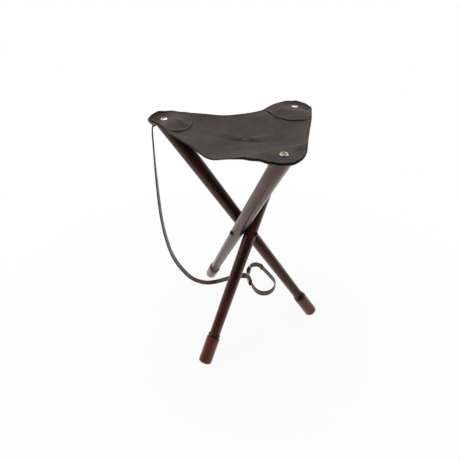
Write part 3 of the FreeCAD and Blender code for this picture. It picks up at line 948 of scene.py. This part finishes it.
def markWood(mesh, name):
    # grain along the leg, pale wear on the foot and the groove's rim, and painted shade in the groove and
    # above it
    arm, lean, axis, outer, pivot = legFrame(name)
    coords = np.array([v.co for v in mesh.vertices]) - pivot
    local = np.stack([coords @ arm, coords @ outer, coords @ axis], axis=1)
    radius = np.hypot(local[:, 0], local[:, 1])
    grainPlace = local + legWear["grainShift"][name] * np.array(legWear["grainWay"])
    height = local[:, 2] - legSet["groove"]
    foot = smoothStep(-height / legWear["footRun"])
    rim = np.clip(1.0 - np.abs(radius - legSet["shoulderRadius"]) / legWear["rimWidth"], 0, 1)
    rim = rim * (np.abs(height) < legWear["rimReach"])
    worn = np.clip(legWear["footWear"] * foot + legWear["rimWear"] * rim, 0, 1)
    shadeBand = bell(height - legWear["grooveShadePlace"], legWear["grooveShadeWidth"]) * (height > legWear["grooveShadeStart"])
    stain = np.clip(legWear["grooveShadeShare"] * shadeBand, 0, 1)
    setMarks(mesh, grainPlace=grainPlace, handled=worn, stainPool=stain)


def makeLeg(name):
    end = legSet["above"]
    if name == "left":
        end -= legSet["strapDrop"] / math.cos(tilt - cornerTilt)  # room for the strap's clamped end
    mesh = drilledLeg(name, end)
    mesh.name = "turnedLeg_" + name
    markWood(mesh, name)
    mesh.set_sharp_from_angle(angle=math.radians(legSet["sharpDegrees"]))
    leg = newPiece("turnedLeg_" + name, mesh)
    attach(leg, "leg_assembly_" + name)
    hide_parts("leg_" + name)


for legName in legArms:
    makeLeg(legName)
print("legs made")


# Leather seat in gores
seatSet = {
    "cornerAngles": {"left": 173.925, "front": 293.925, "rear": 53.925},
    "cornerRadius": 0.166297,
    "cornerLevel": 0.503997,
    "margin": 0.0365,
    "tip": 0.0316,
    "sagFront": 0.0298,
    "sagRight": 0.022,
    "sagBack": 0.0275,
    "cornerLift": 0.0075,
    "flatRadius": 0.020,
    "blendRadius": 0.050,
    "slackDrop": 0.0074,
    "slackPlace": 0.54,
    "slackWidth": 0.12,
    "slackStart": -0.07,
    "slackDepth": 0.35,
    # soft folds drawn out from near the middle: direction in degrees, depth (a height below nought), length
    "folds": ((163.0, 0.0034, 0.100), (-10.0, 0.0028, 0.100), (108.0, -0.0024, 0.062),
              (27.0, -0.0028, 0.090)),
    "foldStart": (-0.006, -0.008),
    "foldWidth": 0.0065,
    "foldOpening": (0.6, 0.05),
    "foldRise": 0.012,
    # the lips beside each fold: share of its depth, and how many widths aside
    "foldLip": (0.45, 2.1),
    # lifts and drops of the rim and places where it reaches further out or less: direction in degrees, amount
    "rimLifts": ((20.0, 0.0016), (40.0, -0.0046), (80.0, -0.0031), (140.0, 0.0033), (160.0, -0.0055),
                 (200.0, 0.0020), (220.0, 0.0015), (240.0, -0.0042), (280.0, -0.0044)),
    "rimNips": ((57.0, 0.0030), (43.0, -0.0045), (148.0, 0.0016), (272.0, 0.0019), (281.0, -0.0012),
                (168.0, 0.0018)),
    "rimNipWidth": 5.5,
    "rimReaches": ((20.0, 0.0018), (140.0, 0.0017), (160.0, 0.0031), (180.0, -0.0024), (200.0, 0.0044),
                   (260.0, -0.0025), (280.0, -0.0021), (306.0, -0.0020), (326.0, -0.0010)),
    "rimWidth": 16.0,
    "rimLiftDepth": 0.036,
    "thick": 0.003,
    "edgeRound": 0.0013,
    "edgeRun": 0.0018,
    "innerRows": 40,
    "innerHole": 0.0004,
    "gores": 36,
    "goreColumns": 8,
    "gatherDip": 12.4,
    "gatherLevel": 0.4244,
    "keep": 0.10,
    "flatSpare": 1.3,
}
# puckers round each corner, the swell about its cup washer and the press under it
cornerMarks = {
    "puckerHeight": 0.0005,
    "puckerPlace": 0.05,
    "puckerWidth": 0.03,
    "puckerWaves": 9,
    "puckerTurn": 1.3,
    "swellHeight": 0.0006,
    "swellPlace": 0.0115,
    "swellWidth": 0.0035,
    "pressDepth": 0.0004,
    "pressRadius": 0.0085,
    "pressRun": 0.003,
}
patchSet = {
    "thick": 0.0025,
    # each patch's reach in from its screw, how far out its round edge is struck from, and its turn in degrees
    "shapes": {"left": (0.053, 0.040, -2.0), "front": (0.054, 0.060, -4.0), "rear": (0.057, 0.120, -7.0)},
    "skive": 0.2,
    "skiveWidth": 0.016,
    "taper": 0.030,
    "thinnest": 0.1,
    "leastSpan": 0.002,
    "turnStep": 0.0005,
    "seamRoom": 0.004,
    "columns": 11,
    "rows": 16,
    "edgeCrowd": 2.4,
    "gap": 0.00005,
    "roundAbove": 0.7,
    "roundBelow": 0.3,
}
stitchSet = {
    "inset": 0.0062,
    "patchInset": 0.0045,
    "rimRoom": 0.005,
    "lapRoom": 0.001,
    "step": 0.0052,
    "length": 0.0044,
    "threadRadius": 0.0006,
    "threadSink": 0.00025,
    "grooveDepth": 0.00045,
    "grooveWidth": 0.0009,
    "rimPoints": 13,
    "arcStep": 0.8,
    "beadSides": 8,
    "beadRings": 6,
}
seatShade = {
    "cutEdge": 0.0012,
    "cutRun": 0.0008,
    "rimEdge": 0.0045,
    "rimRun": 0.0025,
    "handled": 0.12,
    # a painted highlight on the fold crests, and painted shade in their creases
    "crestPaintedHighlight": 0.6,
    "crestHeight": 0.002,
    "creasePaintedShade": 0.8,
    "creaseDepth": 0.003,
}
edgeSteps = np.array([0.0, 0.00035, 0.0009, 0.0018, 0.0030, 0.0044,
                      0.0054, 0.0062, 0.0070, 0.0082, 0.0105, 0.0140])
cornerNames = ("left", "front", "rear")
# room for rounding: in a normal's length, in a wall's cross product and at the line between two gores
tinyLength, tinyCross, tinyTurn = 1e-12, 1e-15, 1e-9


def rayPlan(angles, radii):
    return np.stack([radii * np.cos(angles), radii * np.sin(angles)], axis=-1)


cornerPlan = {name: rayPlan(math.radians(degrees), seatSet["cornerRadius"])
              for name, degrees in seatSet["cornerAngles"].items()}


def crossPlan(first, second):
    return first[..., 0] * second[..., 1] - first[..., 1] * second[..., 0]


def seatHeight(plan):
    # the slung sheet by its shares of the three corners, flat on the leg tops
    left, front, rear = [cornerPlan[n] for n in cornerNames]
    whole = crossPlan(front - left, rear - left)
    ofLeft = crossPlan(front - plan, rear - plan) / whole
    ofFront = crossPlan(rear - plan, left - plan) / whole
    ofRear = 1 - ofLeft - ofFront
    sag = seatSet["sagFront"] * ofLeft * ofFront + seatSet["sagRight"] * ofFront * ofRear
    sag = sag + seatSet["sagBack"] * ofRear * ofLeft
    along = ofFront / np.maximum(ofLeft + ofFront, seatSet["slackWidth"])
    slack = seatSet["slackDrop"] * bell(along - seatSet["slackPlace"], seatSet["slackWidth"])
    slack = slack * (1 - smoothStep((ofRear - seatSet["slackStart"]) / seatSet["slackDepth"]))
    # halfway along an edge the product of its two shares is a quarter
    height = seatSet["cornerLevel"] + seatSet["cornerLift"] - 4 * sag - slack
    blend = seatSet["blendRadius"] - seatSet["flatRadius"]
    for name in cornerNames:
        reach = plan - cornerPlan[name]
        angle = math.radians(legArms[name])
        lean = np.array([-math.sin(angle), math.cos(angle)])
        plane = seatSet["cornerLevel"] - (reach @ lean) * math.tan(cornerTilt)
        loose = smoothStep((np.linalg.norm(reach, axis=-1) - seatSet["flatRadius"]) / blend)
        height = loose * height + (1 - loose) * plane
    return height


def foldHeight(plan):
    height = np.zeros(plan.shape[:-1])
    away = plan - np.array(seatSet["foldStart"])
    narrow, opening = seatSet["foldOpening"]
    lipShare, lipPlace = seatSet["foldLip"]
    for degrees, depth, length in seatSet["folds"]:
        turn = math.radians(degrees)
        along = away @ np.array([math.cos(turn), math.sin(turn)])
        aside = away @ np.array([-math.sin(turn), math.cos(turn)])
        width = seatSet["foldWidth"] * (narrow + np.clip(along, 0, None) / opening)
        run = smoothStep(along / seatSet["foldRise"] + 0.5) * (1 - smoothStep(along / length))
        height = height - depth * run * bell(aside, width)
        height = height + lipShare * depth * run * bell(np.abs(aside) - lipPlace * width, width)
    return height


def rimBump(heading, degrees, width):
    return bell(turnBetween(heading, degrees, 360), width)


def outlineRadius(angle):
    # straight sides and round corners, then the small places where the rim reaches further or less
    edgeReach = seatSet["cornerRadius"] / 2 + seatSet["margin"]
    inset = 2 * (seatSet["margin"] - seatSet["tip"])
    roundRadius = seatSet["margin"] + inset / 2
    middle = seatSet["cornerRadius"] - inset
    corners = np.radians(list(seatSet["cornerAngles"].values()))
    away = np.abs(turnBetween(np.asarray(angle)[..., None], corners)).min(axis=-1)
    tangent = math.atan2(roundRadius * math.sin(math.pi / 3), middle + roundRadius * math.cos(math.pi / 3))
    rounded = middle * np.cos(away) + np.sqrt(np.maximum(roundRadius**2 - (middle * np.sin(away)) ** 2, 0.0))
    radius = np.where(away <= tangent, rounded, edgeReach / np.cos(np.pi / 3 - away))
    for degrees, reach in seatSet["rimReaches"]:
        radius = radius + reach * rimBump(np.degrees(angle), degrees, seatSet["rimWidth"])
    return radius


def seatDetail(plan):
    # folds drawn out from the middle, the rim's ups and downs, and the marks of each corner
    detail = foldHeight(plan)
    radius = np.linalg.norm(plan, axis=-1)
    heading = np.degrees(np.arctan2(plan[..., 1], plan[..., 0]))
    nearRim = smoothStep((radius - outlineRadius(np.radians(heading))) / seatSet["rimLiftDepth"] + 1)
    for bumps, width in (("rimLifts", "rimWidth"), ("rimNips", "rimNipWidth")):
        for degrees, lift in seatSet[bumps]:
            detail = detail + lift * nearRim * rimBump(heading, degrees, seatSet[width])
    marks = cornerMarks
    for name in cornerNames:
        reach = plan - cornerPlan[name]
        distance = np.linalg.norm(reach, axis=-1)
        turn = np.arctan2(reach[..., 1], reach[..., 0])
        pucker = bell(distance - marks["puckerPlace"], marks["puckerWidth"])
        wave = np.sin(marks["puckerWaves"] * turn + marks["puckerTurn"])
        detail = detail + marks["puckerHeight"] * pucker * wave
        detail = detail + marks["swellHeight"] * bell(distance - marks["swellPlace"], marks["swellWidth"])
        press = smoothStep((marks["pressRadius"] - distance) / marks["pressRun"])
        detail = detail - marks["pressDepth"] * press
    return detail


def seatTop(plan):
    return seatHeight(plan) + seatDetail(plan)


def edgeFall(inset):
    # how far the surface falls at a rounded edge and in the groove under the thread
    rounding = seatSet["edgeRound"] * np.clip(1 - inset / seatSet["edgeRun"], 0, 1) ** 2
    groove = stitchSet["grooveDepth"] * bell(inset - stitchSet["inset"], stitchSet["grooveWidth"])
    return rounding, groove


def raised(plan, heights):
    return np.concatenate([plan, heights[..., None]], axis=-1)


def panelGrid():
    # columns of upper and lower points from the rim to the middle, all round
    columns = seatSet["gores"] * seatSet["goreColumns"]
    start = math.radians(seatSet["cornerAngles"]["left"] - 180 / seatSet["gores"])
    angles = start + 2 * math.pi * np.arange(columns) / columns
    rims = outlineRadius(angles)
    inner = np.concatenate([np.linspace(1.0, 0.0, seatSet["innerRows"])[1:-1], [seatSet["innerHole"]]])
    insets = np.concatenate([np.repeat(edgeSteps[None, :], columns, axis=0),
                             rims[:, None] - (rims[:, None] - edgeSteps[-1]) * inner[None, :]], axis=1)
    plan = rayPlan(angles[:, None], rims[:, None] - insets)
    rounding, groove = edgeFall(insets)
    top = seatTop(plan)
    return insets, raised(plan, top - rounding - groove), raised(plan, top - seatSet["thick"] + rounding)


def patchCircle(name):
    # the round inner edge of a patch: its middle in plan and its radius
    reach, outward, skew = patchSet["shapes"][name]
    angle = math.radians(seatSet["cornerAngles"][name] + skew)
    return rayPlan(angle, seatSet["cornerRadius"] + outward), reach + outward


def patchEntry(name, angles):
    # how far out along a ray from the seat's middle the patch begins
    middle, radius = patchCircle(name)
    along = middle[0] * np.cos(angles) + middle[1] * np.sin(angles)
    aside = middle[1] * np.cos(angles) - middle[0] * np.sin(angles)
    return along - np.sqrt(np.maximum(radius**2 - aside**2, 0.0))


def patchLayer(spans, insets):
    # pared a little at the inner edge, and down to nothing much where that edge runs out at the rim
    pared = patchSet["skive"] * (1 - smoothStep((spans - insets) / patchSet["skiveWidth"]))
    pared = pared * smoothStep(insets / patchSet["skiveWidth"])
    thinnest = patchSet["thinnest"]
    taper = thinnest + (1 - thinnest) * smoothStep(spans / patchSet["taper"])
    return patchSet["thick"] * (1 - pared) * taper


def patchLimit(name, way):
    # how far round from its screw the patch goes before its inner edge meets the rim
    centre = math.radians(seatSet["cornerAngles"][name])
    turn = 0.0
    while outlineRadius(centre + way * turn) - patchSet["leastSpan"] > patchEntry(name, centre + way * turn):
        turn += patchSet["turnStep"]
    return way * (turn - patchSet["turnStep"])


def patchTurns(name):
    # turns of a patch's columns from its screw, with one on each line between two gores
    half = math.pi / seatSet["gores"]
    low, high = patchLimit(name, -1), patchLimit(name, 1)
    quarter = seatSet["gores"] // 4
    seams = [(2 * k + 1) * half for k in range(-quarter, quarter)]
    seams = [seam for seam in seams if low + patchSet["seamRoom"] < seam < high - patchSet["seamRoom"]]
    stops = [low] + seams + [high]
    runs = [np.linspace(a, b, patchSet["columns"])[:-1] for a, b in zip(stops, stops[1:])]
    return np.concatenate(runs + [[high]])


def patchGrid(name):
    # columns of upper and lower points from the rim in to the round edge
    turns = patchTurns(name)
    angles = math.radians(seatSet["cornerAngles"][name]) + turns
    rims = outlineRadius(angles)
    spans = (rims - patchEntry(name, angles))[:, None]
    scale = np.minimum(1.0, spans / (patchSet["edgeCrowd"] * edgeSteps[-1]))
    nearRim = edgeSteps[None, :] * scale
    nearArc = spans - edgeSteps[None, ::-1] * scale
    shares = np.linspace(0, 1, patchSet["rows"])[None, 1:-1]
    between = nearRim[:, -1:] + (nearArc[:, :1] - nearRim[:, -1:]) * shares
    insets = np.concatenate([nearRim, between, nearArc], axis=1)
    plan = rayPlan(angles[:, None], rims[:, None] - insets)
    nearest = np.minimum(insets, spans - insets)
    rounding, groove = edgeFall(nearest)
    thickness = patchLayer(spans, insets)
    share = thickness / patchSet["thick"]
    top = seatTop(plan)
    upper = raised(plan, top + thickness - share * (patchSet["roundAbove"] * rounding + groove))
    lower = raised(plan, top + patchSet["gap"] + patchSet["roundBelow"] * share * rounding)
    return turns, insets, nearest, upper, lower


def slabFaces(columns, rows, closed=False):
    # faces above, below and along the rim, and along the inner edge unless the columns close to a ring
    below = columns * rows
    faces = []
    for c in range(columns if closed else columns - 1):
        near, far = c * rows, (c + 1) % columns * rows
        for r in range(rows - 1):
            a, b = near + r, far + r
            faces.append((a, b, b + 1, a + 1))
            faces.append((below + a, below + a + 1, below + b + 1, below + b))
        faces.append((near, below + near, below + far, far))
        if not closed:
            a, b = near + rows - 1, far + rows - 1
            faces.append((b, below + b, below + a, a))
    return faces


def slabWalls(columns, rows):
    # flat walls at the two cut sides
    below = columns * rows
    walls = []
    for c in (0, columns - 1):
        for r in range(rows - 1):
            a = c * rows + r
            wall = (a, a + 1, below + a + 1, below + a)
            walls.append(wall[::-1] if c else wall)
    return walls


def slabNormals(upper, lower, closed):
    # smooth normals over a whole slab, so that the gores shade as one sheet
    columns, rows = upper.shape[:2]
    places = np.concatenate([upper.reshape(-1, 3), lower.reshape(-1, 3)])
    normals = np.zeros_like(places)
    for face in slabFaces(columns, rows, closed):
        corner = places[list(face)]
        flat = np.cross(corner[2] - corner[0], corner[-1] - corner[1])
        for index in face:
            normals[index] += flat
    normals = normals / np.maximum(np.linalg.norm(normals, axis=1), tinyLength)[:, None]
    return normals.reshape(2, columns, rows, 3)


def makeSlab(upper, lower, closed, edges, handled, rims):
    above, under = slabNormals(upper, lower, closed)
    return {"upper": upper, "lower": lower, "above": above, "under": under,
            "marks": np.stack([edges, handled, rims], axis=-1)}


class Shell:
    # points, faces, finish marks and shading normals of one gore while it is being put together
    def __init__(self):
        self.places, self.normals, self.marks = [], [], []
        self.faces, self.faceNormals, self.slots = [], [], []

    def add(self, places, normals, marks, faces, faceNormals, slot):
        base = len(self.places)
        self.places += [tuple(p) for p in places]
        self.normals += [tuple(n) for n in normals]
        self.marks += [tuple(m) for m in marks]
        self.faces += [tuple(base + index for index in face) for face in faces]
        self.faceNormals += faceNormals
        self.slots += [slot] * len(faces)


def addSlab(shell, slab, pick):
    # the picked columns as a closed piece, with no wear and no painted highlight on the underside
    part = {key: values[pick] for key, values in slab.items()}
    columns, rows = part["upper"].shape[:2]
    places = np.concatenate([part["upper"].reshape(-1, 3), part["lower"].reshape(-1, 3)])
    normals = np.concatenate([part["above"].reshape(-1, 3), part["under"].reshape(-1, 3)])
    marks = part["marks"].reshape(-1, 3)
    marks = np.concatenate([marks, marks * (1, 0, 1)])
    faces, walls = slabFaces(columns, rows), slabWalls(columns, rows)
    wallNormals = []
    for wall in walls:
        corner = places[list(wall)]
        wallNormals.append(unit(np.cross(corner[2] - corner[0], corner[3] - corner[1]) + tinyCross))
    shell.add(places, normals, marks, faces + walls, [None] * len(faces) + wallNormals, 0)


def stitchTree():
    tree = bpy.data.node_groups.new("stitchRow", "GeometryNodeTree")
    tree.interface.new_socket(name="Geometry", in_out="OUTPUT", socket_type="NodeSocketGeometry")
    kinds = {"Line": "Geometry", "Stitch Step": "Float", "Stitch Length": "Float",
             "Thread Radius": "Float", "Thread": "Material"}
    sockets = {}
    for label, kind in kinds.items():
        socket = tree.interface.new_socket(name=label, in_out="INPUT", socket_type="NodeSocket" + kind)
        sockets[label] = socket.identifier
    given, result = addNode(tree, "NodeGroupInput"), addNode(tree, "NodeGroupOutput")
    toCurve = addNode(tree, "GeometryNodeMeshToCurve")
    toPoints = addNode(tree, "GeometryNodeCurveToPoints", mode="LENGTH")
    bead = addNode(tree, "GeometryNodeMeshUVSphere")
    setInputs(bead, {"Segments": stitchSet["beadSides"], "Rings": stitchSet["beadRings"], "Radius": 1.0})
    scale = addNode(tree, "ShaderNodeCombineXYZ")
    onPoints = addNode(tree, "GeometryNodeInstanceOnPoints")
    realize = addNode(tree, "GeometryNodeRealizeInstances")
    finish = addNode(tree, "GeometryNodeSetMaterial")
    halfLength = mathNode(tree, "MULTIPLY", given.outputs["Stitch Length"], 0.5)
    tree.links.new(halfLength, scale.inputs["Z"])
    links = (
        (given, "Line", toCurve, "Mesh"),
        (toCurve, "Curve", toPoints, "Curve"),
        (given, "Stitch Step", toPoints, "Length"),
        (toPoints, "Points", onPoints, "Points"),
        (toPoints, "Rotation", onPoints, "Rotation"),
        (bead, "Mesh", onPoints, "Instance"),
        (given, "Thread Radius", scale, "X"),
        (given, "Thread Radius", scale, "Y"),
        (scale, "Vector", onPoints, "Scale"),
        (onPoints, "Instances", realize, "Geometry"),
        (realize, "Geometry", finish, "Geometry"),
        (given, "Thread", finish, "Material"),
        (finish, "Geometry", result, "Geometry"),
    )
    for source, output, target, entry in links:
        tree.links.new(source.outputs[output], target.inputs[entry])
    return tree, sockets


stitchRow, stitchSockets = stitchTree()


def addStitches(shell, line):
    mesh = bpy.data.meshes.new("stitchLine")
    mesh.from_pydata([tuple(p) for p in line], [(k, k + 1) for k in range(len(line) - 1)], [])
    carrier = newPiece("stitchLine", mesh)
    sewing = carrier.modifiers.new("stitchRow", "NODES")
    sewing.node_group = stitchRow
    sewing[stitchSockets["Stitch Step"]] = stitchSet["step"]
    sewing[stitchSockets["Stitch Length"]] = stitchSet["length"]
    sewing[stitchSockets["Thread Radius"]] = stitchSet["threadRadius"]
    sewing[stitchSockets["Thread"]] = waxedThread
    threads = plainMesh(carrier)
    places = [v.co for v in threads.vertices]
    normals = [v.normal for v in threads.vertices]
    faces = [tuple(p.vertices) for p in threads.polygons]
    shell.add(places, normals, np.zeros((len(places), 3)), faces, [None] * len(faces), 1)
    carrier.modifiers.remove(sewing)
    dropPiece(carrier)


def threadHeight(plan):
    # the thread lies on the patch where there is one, and else on the panel
    layer = 0.0
    angle = math.atan2(plan[1], plan[0])
    rim = outlineRadius(angle)
    for name in cornerNames:
        middle, radius = patchCircle(name)
        if np.linalg.norm(plan - middle) < radius - stitchSet["lapRoom"]:
            layer = patchLayer(rim - patchEntry(name, angle), rim - np.linalg.norm(plan))
    return float(seatTop(plan) + layer) - stitchSet["threadSink"]


def goreStitches(gore):
    # the seam along the gore's rim, and each patch's round seam where it crosses the gore
    width = 2 * math.pi / seatSet["gores"]
    middle = math.radians(seatSet["cornerAngles"]["left"]) + gore * width
    turns = np.linspace(-width / 2, width / 2, stitchSet["rimPoints"])
    rows = [[rayPlan(middle + t, outlineRadius(middle + t) - stitchSet["inset"]) for t in turns]]
    for name in cornerNames:
        centre, radius = patchCircle(name)
        arc = []
        for turn in np.radians(np.arange(0.0, 360.0, stitchSet["arcStep"])):
            plan = centre + rayPlan(turn, radius - stitchSet["patchInset"])
            angle = math.atan2(plan[1], plan[0])
            away = turnBetween(angle, middle)
            onSeat = np.linalg.norm(plan) < outlineRadius(angle) - stitchSet["rimRoom"]
            if abs(away) <= width / 2 and onSeat:
                arc.append((away, plan))
        if len(arc) > 2:
            arc.sort(key=lambda item: item[0])
            rows.append([plan for away, plan in arc])
    return [[(*plan, threadHeight(plan)) for plan in row] for row in rows]


def cutShade(insets):
    return np.clip((seatShade["cutEdge"] - insets) / seatShade["cutRun"], 0, 1)


def rimShade(insets):
    return 1 - smoothStep((insets - seatShade["rimEdge"]) / seatShade["rimRun"])


def panelSlab():
    # the crests of the folds get a painted highlight on top of the seat's light wear, and their creases get
    # painted shade
    insets, upper, lower = panelGrid()
    fold = foldHeight(upper[..., :2])
    crest = np.clip(fold / seatShade["crestHeight"], 0, 1)
    crease = np.clip(-fold / seatShade["creaseDepth"], 0, 1)
    handled = seatShade["handled"] + seatShade["crestPaintedHighlight"] * crest
    rims = np.maximum(rimShade(insets), seatShade["creasePaintedShade"] * crease)
    return makeSlab(upper, lower, True, cutShade(insets), handled, rims)


def patchSlab(name):
    turns, insets, nearest, upper, lower = patchGrid(name)
    handled = np.full(nearest.shape, seatShade["handled"])
    return turns, makeSlab(upper, lower, False, cutShade(nearest), handled, rimShade(insets))


def goreShell(gore, panel, patches):
    shell = Shell()
    per = seatSet["goreColumns"]
    addSlab(shell, panel, [(gore * per + k) % len(panel["upper"]) for k in range(per + 1)])
    for corner, (turns, slab) in enumerate(patches):
        middle = 2 * math.pi * (gore / seatSet["gores"] - corner / 3)
        inside = np.abs(turnBetween(turns, middle)) <= math.pi / seatSet["gores"] + tinyTurn
        if np.count_nonzero(inside) > 1:
            addSlab(shell, slab, inside)
    for line in goreStitches(gore):
        addStitches(shell, line)
    return shell


def finishGore(gore, shell):
    name = "seatGore_%02d" % gore
    mesh = bpy.data.meshes.new(name)
    mesh.from_pydata(shell.places, [], shell.faces)
    mesh.materials.append(seatLeather)
    mesh.materials.append(waxedThread)
    mesh.polygons.foreach_set("material_index", shell.slots)
    mesh.shade_smooth()
    cuts, worn, rims = np.transpose(shell.marks)
    setMarks(mesh, hidePlace=shell.places, cutEdge=cuts, handled=worn, rimShade=rims)
    loopNormals = []
    for face, flat in zip(shell.faces, shell.faceNormals):
        loopNormals += [shell.normals[index] if flat is None else tuple(flat) for index in face]
    mesh.normals_split_custom_set(loopNormals)
    piece = newPiece(name, mesh)
    gatherGore(gore, piece)


def gatherGore(gore, piece):
    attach(piece, "seat")
    corner, place = divmod(gore, seatSet["gores"] // 3)
    if place == 0:
        name = cornerNames[corner]
        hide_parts("corner_patch_" + name)
    if gore == 0:
        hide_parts("seat_panel")
    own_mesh(piece)


def makeSeat():
    panel = panelSlab()
    patches = [patchSlab(name) for name in cornerNames]
    for gore in range(seatSet["gores"]):
        finishGore(gore, goreShell(gore, panel, patches))


makeSeat()
print("seat made")


# Hardware that keeps its CAD shape
def paintNode(name, material):
    mesh = cadNodes[name].data
    mesh.materials.clear()
    mesh.materials.append(material)


for legName in legArms:
    paintNode("cup_washer_" + legName, nickelPlate)
    paintNode("seat_screw_" + legName, screwBrass)
    paintNode("pivot_washer_" + legName, blackenedSteel)
    paintNode("cap_nut_" + legName, blackenedSteel)
for nodeName in ("sleeve_rivet", "buckle_frame", "buckle_prong"):
    paintNode(nodeName, nickelPlate)
paintNode("pivot_hub", blackenedSteel)
print("hardware painted")


# Floor, light and world
stageSet = {
    "fill": 0.34,
    "frontDark": 0.10,
    "backdropEdge": (-0.25, 0.15),
    "floorColour": (0.86, 0.86, 0.86, 1.0),
    "floorHalf": 4.0,
    "floorLevel": -0.0002,
    "floorGlow": 0.92,
    "floorBounce": 0.45,
    "floorGlare": 1.55,
    "floorEdge": (0.30, 0.80),
    "tableEdge": (-1.0, -0.5),
    "lampAim": (0.0, 0.0, 0.3),
    # each soft lamp's place, width, depth and power
    "lamps": {
        "overhead": ((0.0, 0.3, 1.9), 1.8, 1.8, 20.0),
        "leftSide": ((-1.6, -0.6, 1.1), 1.0, 1.2, 9.0),
    },
}


def backgroundRay(tree):
    path = addNode(tree, "ShaderNodeLightPath")
    seen = mathNode(tree, "MAXIMUM", path.outputs["Is Camera Ray"], path.outputs["Is Glossy Ray"])
    return mathNode(tree, "MAXIMUM", seen, path.outputs["Is Transmission Ray"])


def strengthInGloss(tree, place, edge, wanted):
    # full strength to the eye, but in reflections a range across the edge from front to back
    front = addNode(tree, "ShaderNodeSeparateXYZ")
    tree.links.new(place, front.inputs[0])
    share = rangeNode(tree, front.outputs["Y"], edge, wanted)
    glossy = addNode(tree, "ShaderNodeLightPath").outputs["Is Glossy Ray"]
    loss = mathNode(tree, "MULTIPLY", glossy, mathNode(tree, "SUBTRACT", 1.0, share))
    return mathNode(tree, "SUBTRACT", 1.0, loss)


def mixInto(tree, share, first, second, outputKind):
    mixed = addNode(tree, "ShaderNodeMixShader")
    tree.links.new(share, mixed.inputs[0])
    tree.links.new(first.outputs[0], mixed.inputs[1])
    tree.links.new(second.outputs[0], mixed.inputs[2])
    tree.links.new(mixed.outputs[0], addNode(tree, outputKind).inputs["Surface"])


def floorMaterial():
    material = bpy.data.materials.new("paleFloor")
    material.use_nodes = True
    tree = material.node_tree
    tree.nodes.clear()
    matte = addNode(tree, "ShaderNodeBsdfDiffuse")
    setInputs(matte, {"Color": stageSet["floorColour"]})
    # the shadow shows round the stool, and further off the floor runs into the white background
    place = objectPlace(tree)
    length = addNode(tree, "ShaderNodeVectorMath", operation="LENGTH")
    tree.links.new(place, length.inputs[0])
    far = rangeNode(tree, length.outputs["Value"], stageSet["floorEdge"], (stageSet["floorGlow"], 1.0))
    diffuse = addNode(tree, "ShaderNodeLightPath").outputs["Is Diffuse Ray"]
    bounce = mathNode(tree, "MULTIPLY", diffuse, stageSet["floorBounce"])
    share = mathNode(tree, "ADD", mathNode(tree, "MULTIPLY", backgroundRay(tree), far), bounce)
    # in reflections the table ends a little in front of the stool
    glow = addNode(tree, "ShaderNodeEmission")
    glare = (stageSet["frontDark"], stageSet["floorGlare"])
    tree.links.new(strengthInGloss(tree, place, stageSet["tableEdge"], glare), glow.inputs["Strength"])
    mixInto(tree, share, matte, glow, "ShaderNodeOutputMaterial")
    return material


def makeFloor():
    mesh = bpy.data.meshes.new("floor")
    half, level = stageSet["floorHalf"], stageSet["floorLevel"]
    corners = [(-half, -half, level), (half, -half, level), (half, half, level), (-half, half, level)]
    mesh.from_pydata(corners, [], [(0, 1, 2, 3)])
    mesh.materials.append(floorMaterial())
    newPiece("floor", mesh)


def makeLamp(name, place, width, depth, power):
    data = bpy.data.lights.new(name, "AREA")
    data.shape = "RECTANGLE"
    data.size = width
    data.size_y = depth
    data.energy = power
    lamp = newPiece(name, data)
    lamp.location = place
    ahead = Vector(stageSet["lampAim"]) - Vector(place)
    lamp.rotation_euler = ahead.to_track_quat("-Z", "Y").to_euler()


def makeWorld():
    world = bpy.data.worlds.new("studio")
    world.use_nodes = True
    bpy.context.scene.world = world
    tree = world.node_tree
    tree.nodes.clear()
    fill, white = addNode(tree, "ShaderNodeBackground"), addNode(tree, "ShaderNodeBackground")
    for node in (fill, white):
        setInputs(node, {"Color": (1.0, 1.0, 1.0, 1.0)})
    setInputs(fill, {"Strength": stageSet["fill"]})
    # the white backdrop stands behind the stool: reflections show the dark room in front of it
    way = addNode(tree, "ShaderNodeTexCoord").outputs["Generated"]
    strength = strengthInGloss(tree, way, stageSet["backdropEdge"], (stageSet["frontDark"], 1.0))
    tree.links.new(strength, white.inputs["Strength"])
    mixInto(tree, backgroundRay(tree), fill, white, "ShaderNodeOutputWorld")


makeFloor()
for lampName, lampValues in stageSet["lamps"].items():
    makeLamp(lampName, *lampValues)
makeWorld()
bpy.context.scene.view_settings.view_transform = "Standard"
print("stage set")

bpy.context.view_layer.update()
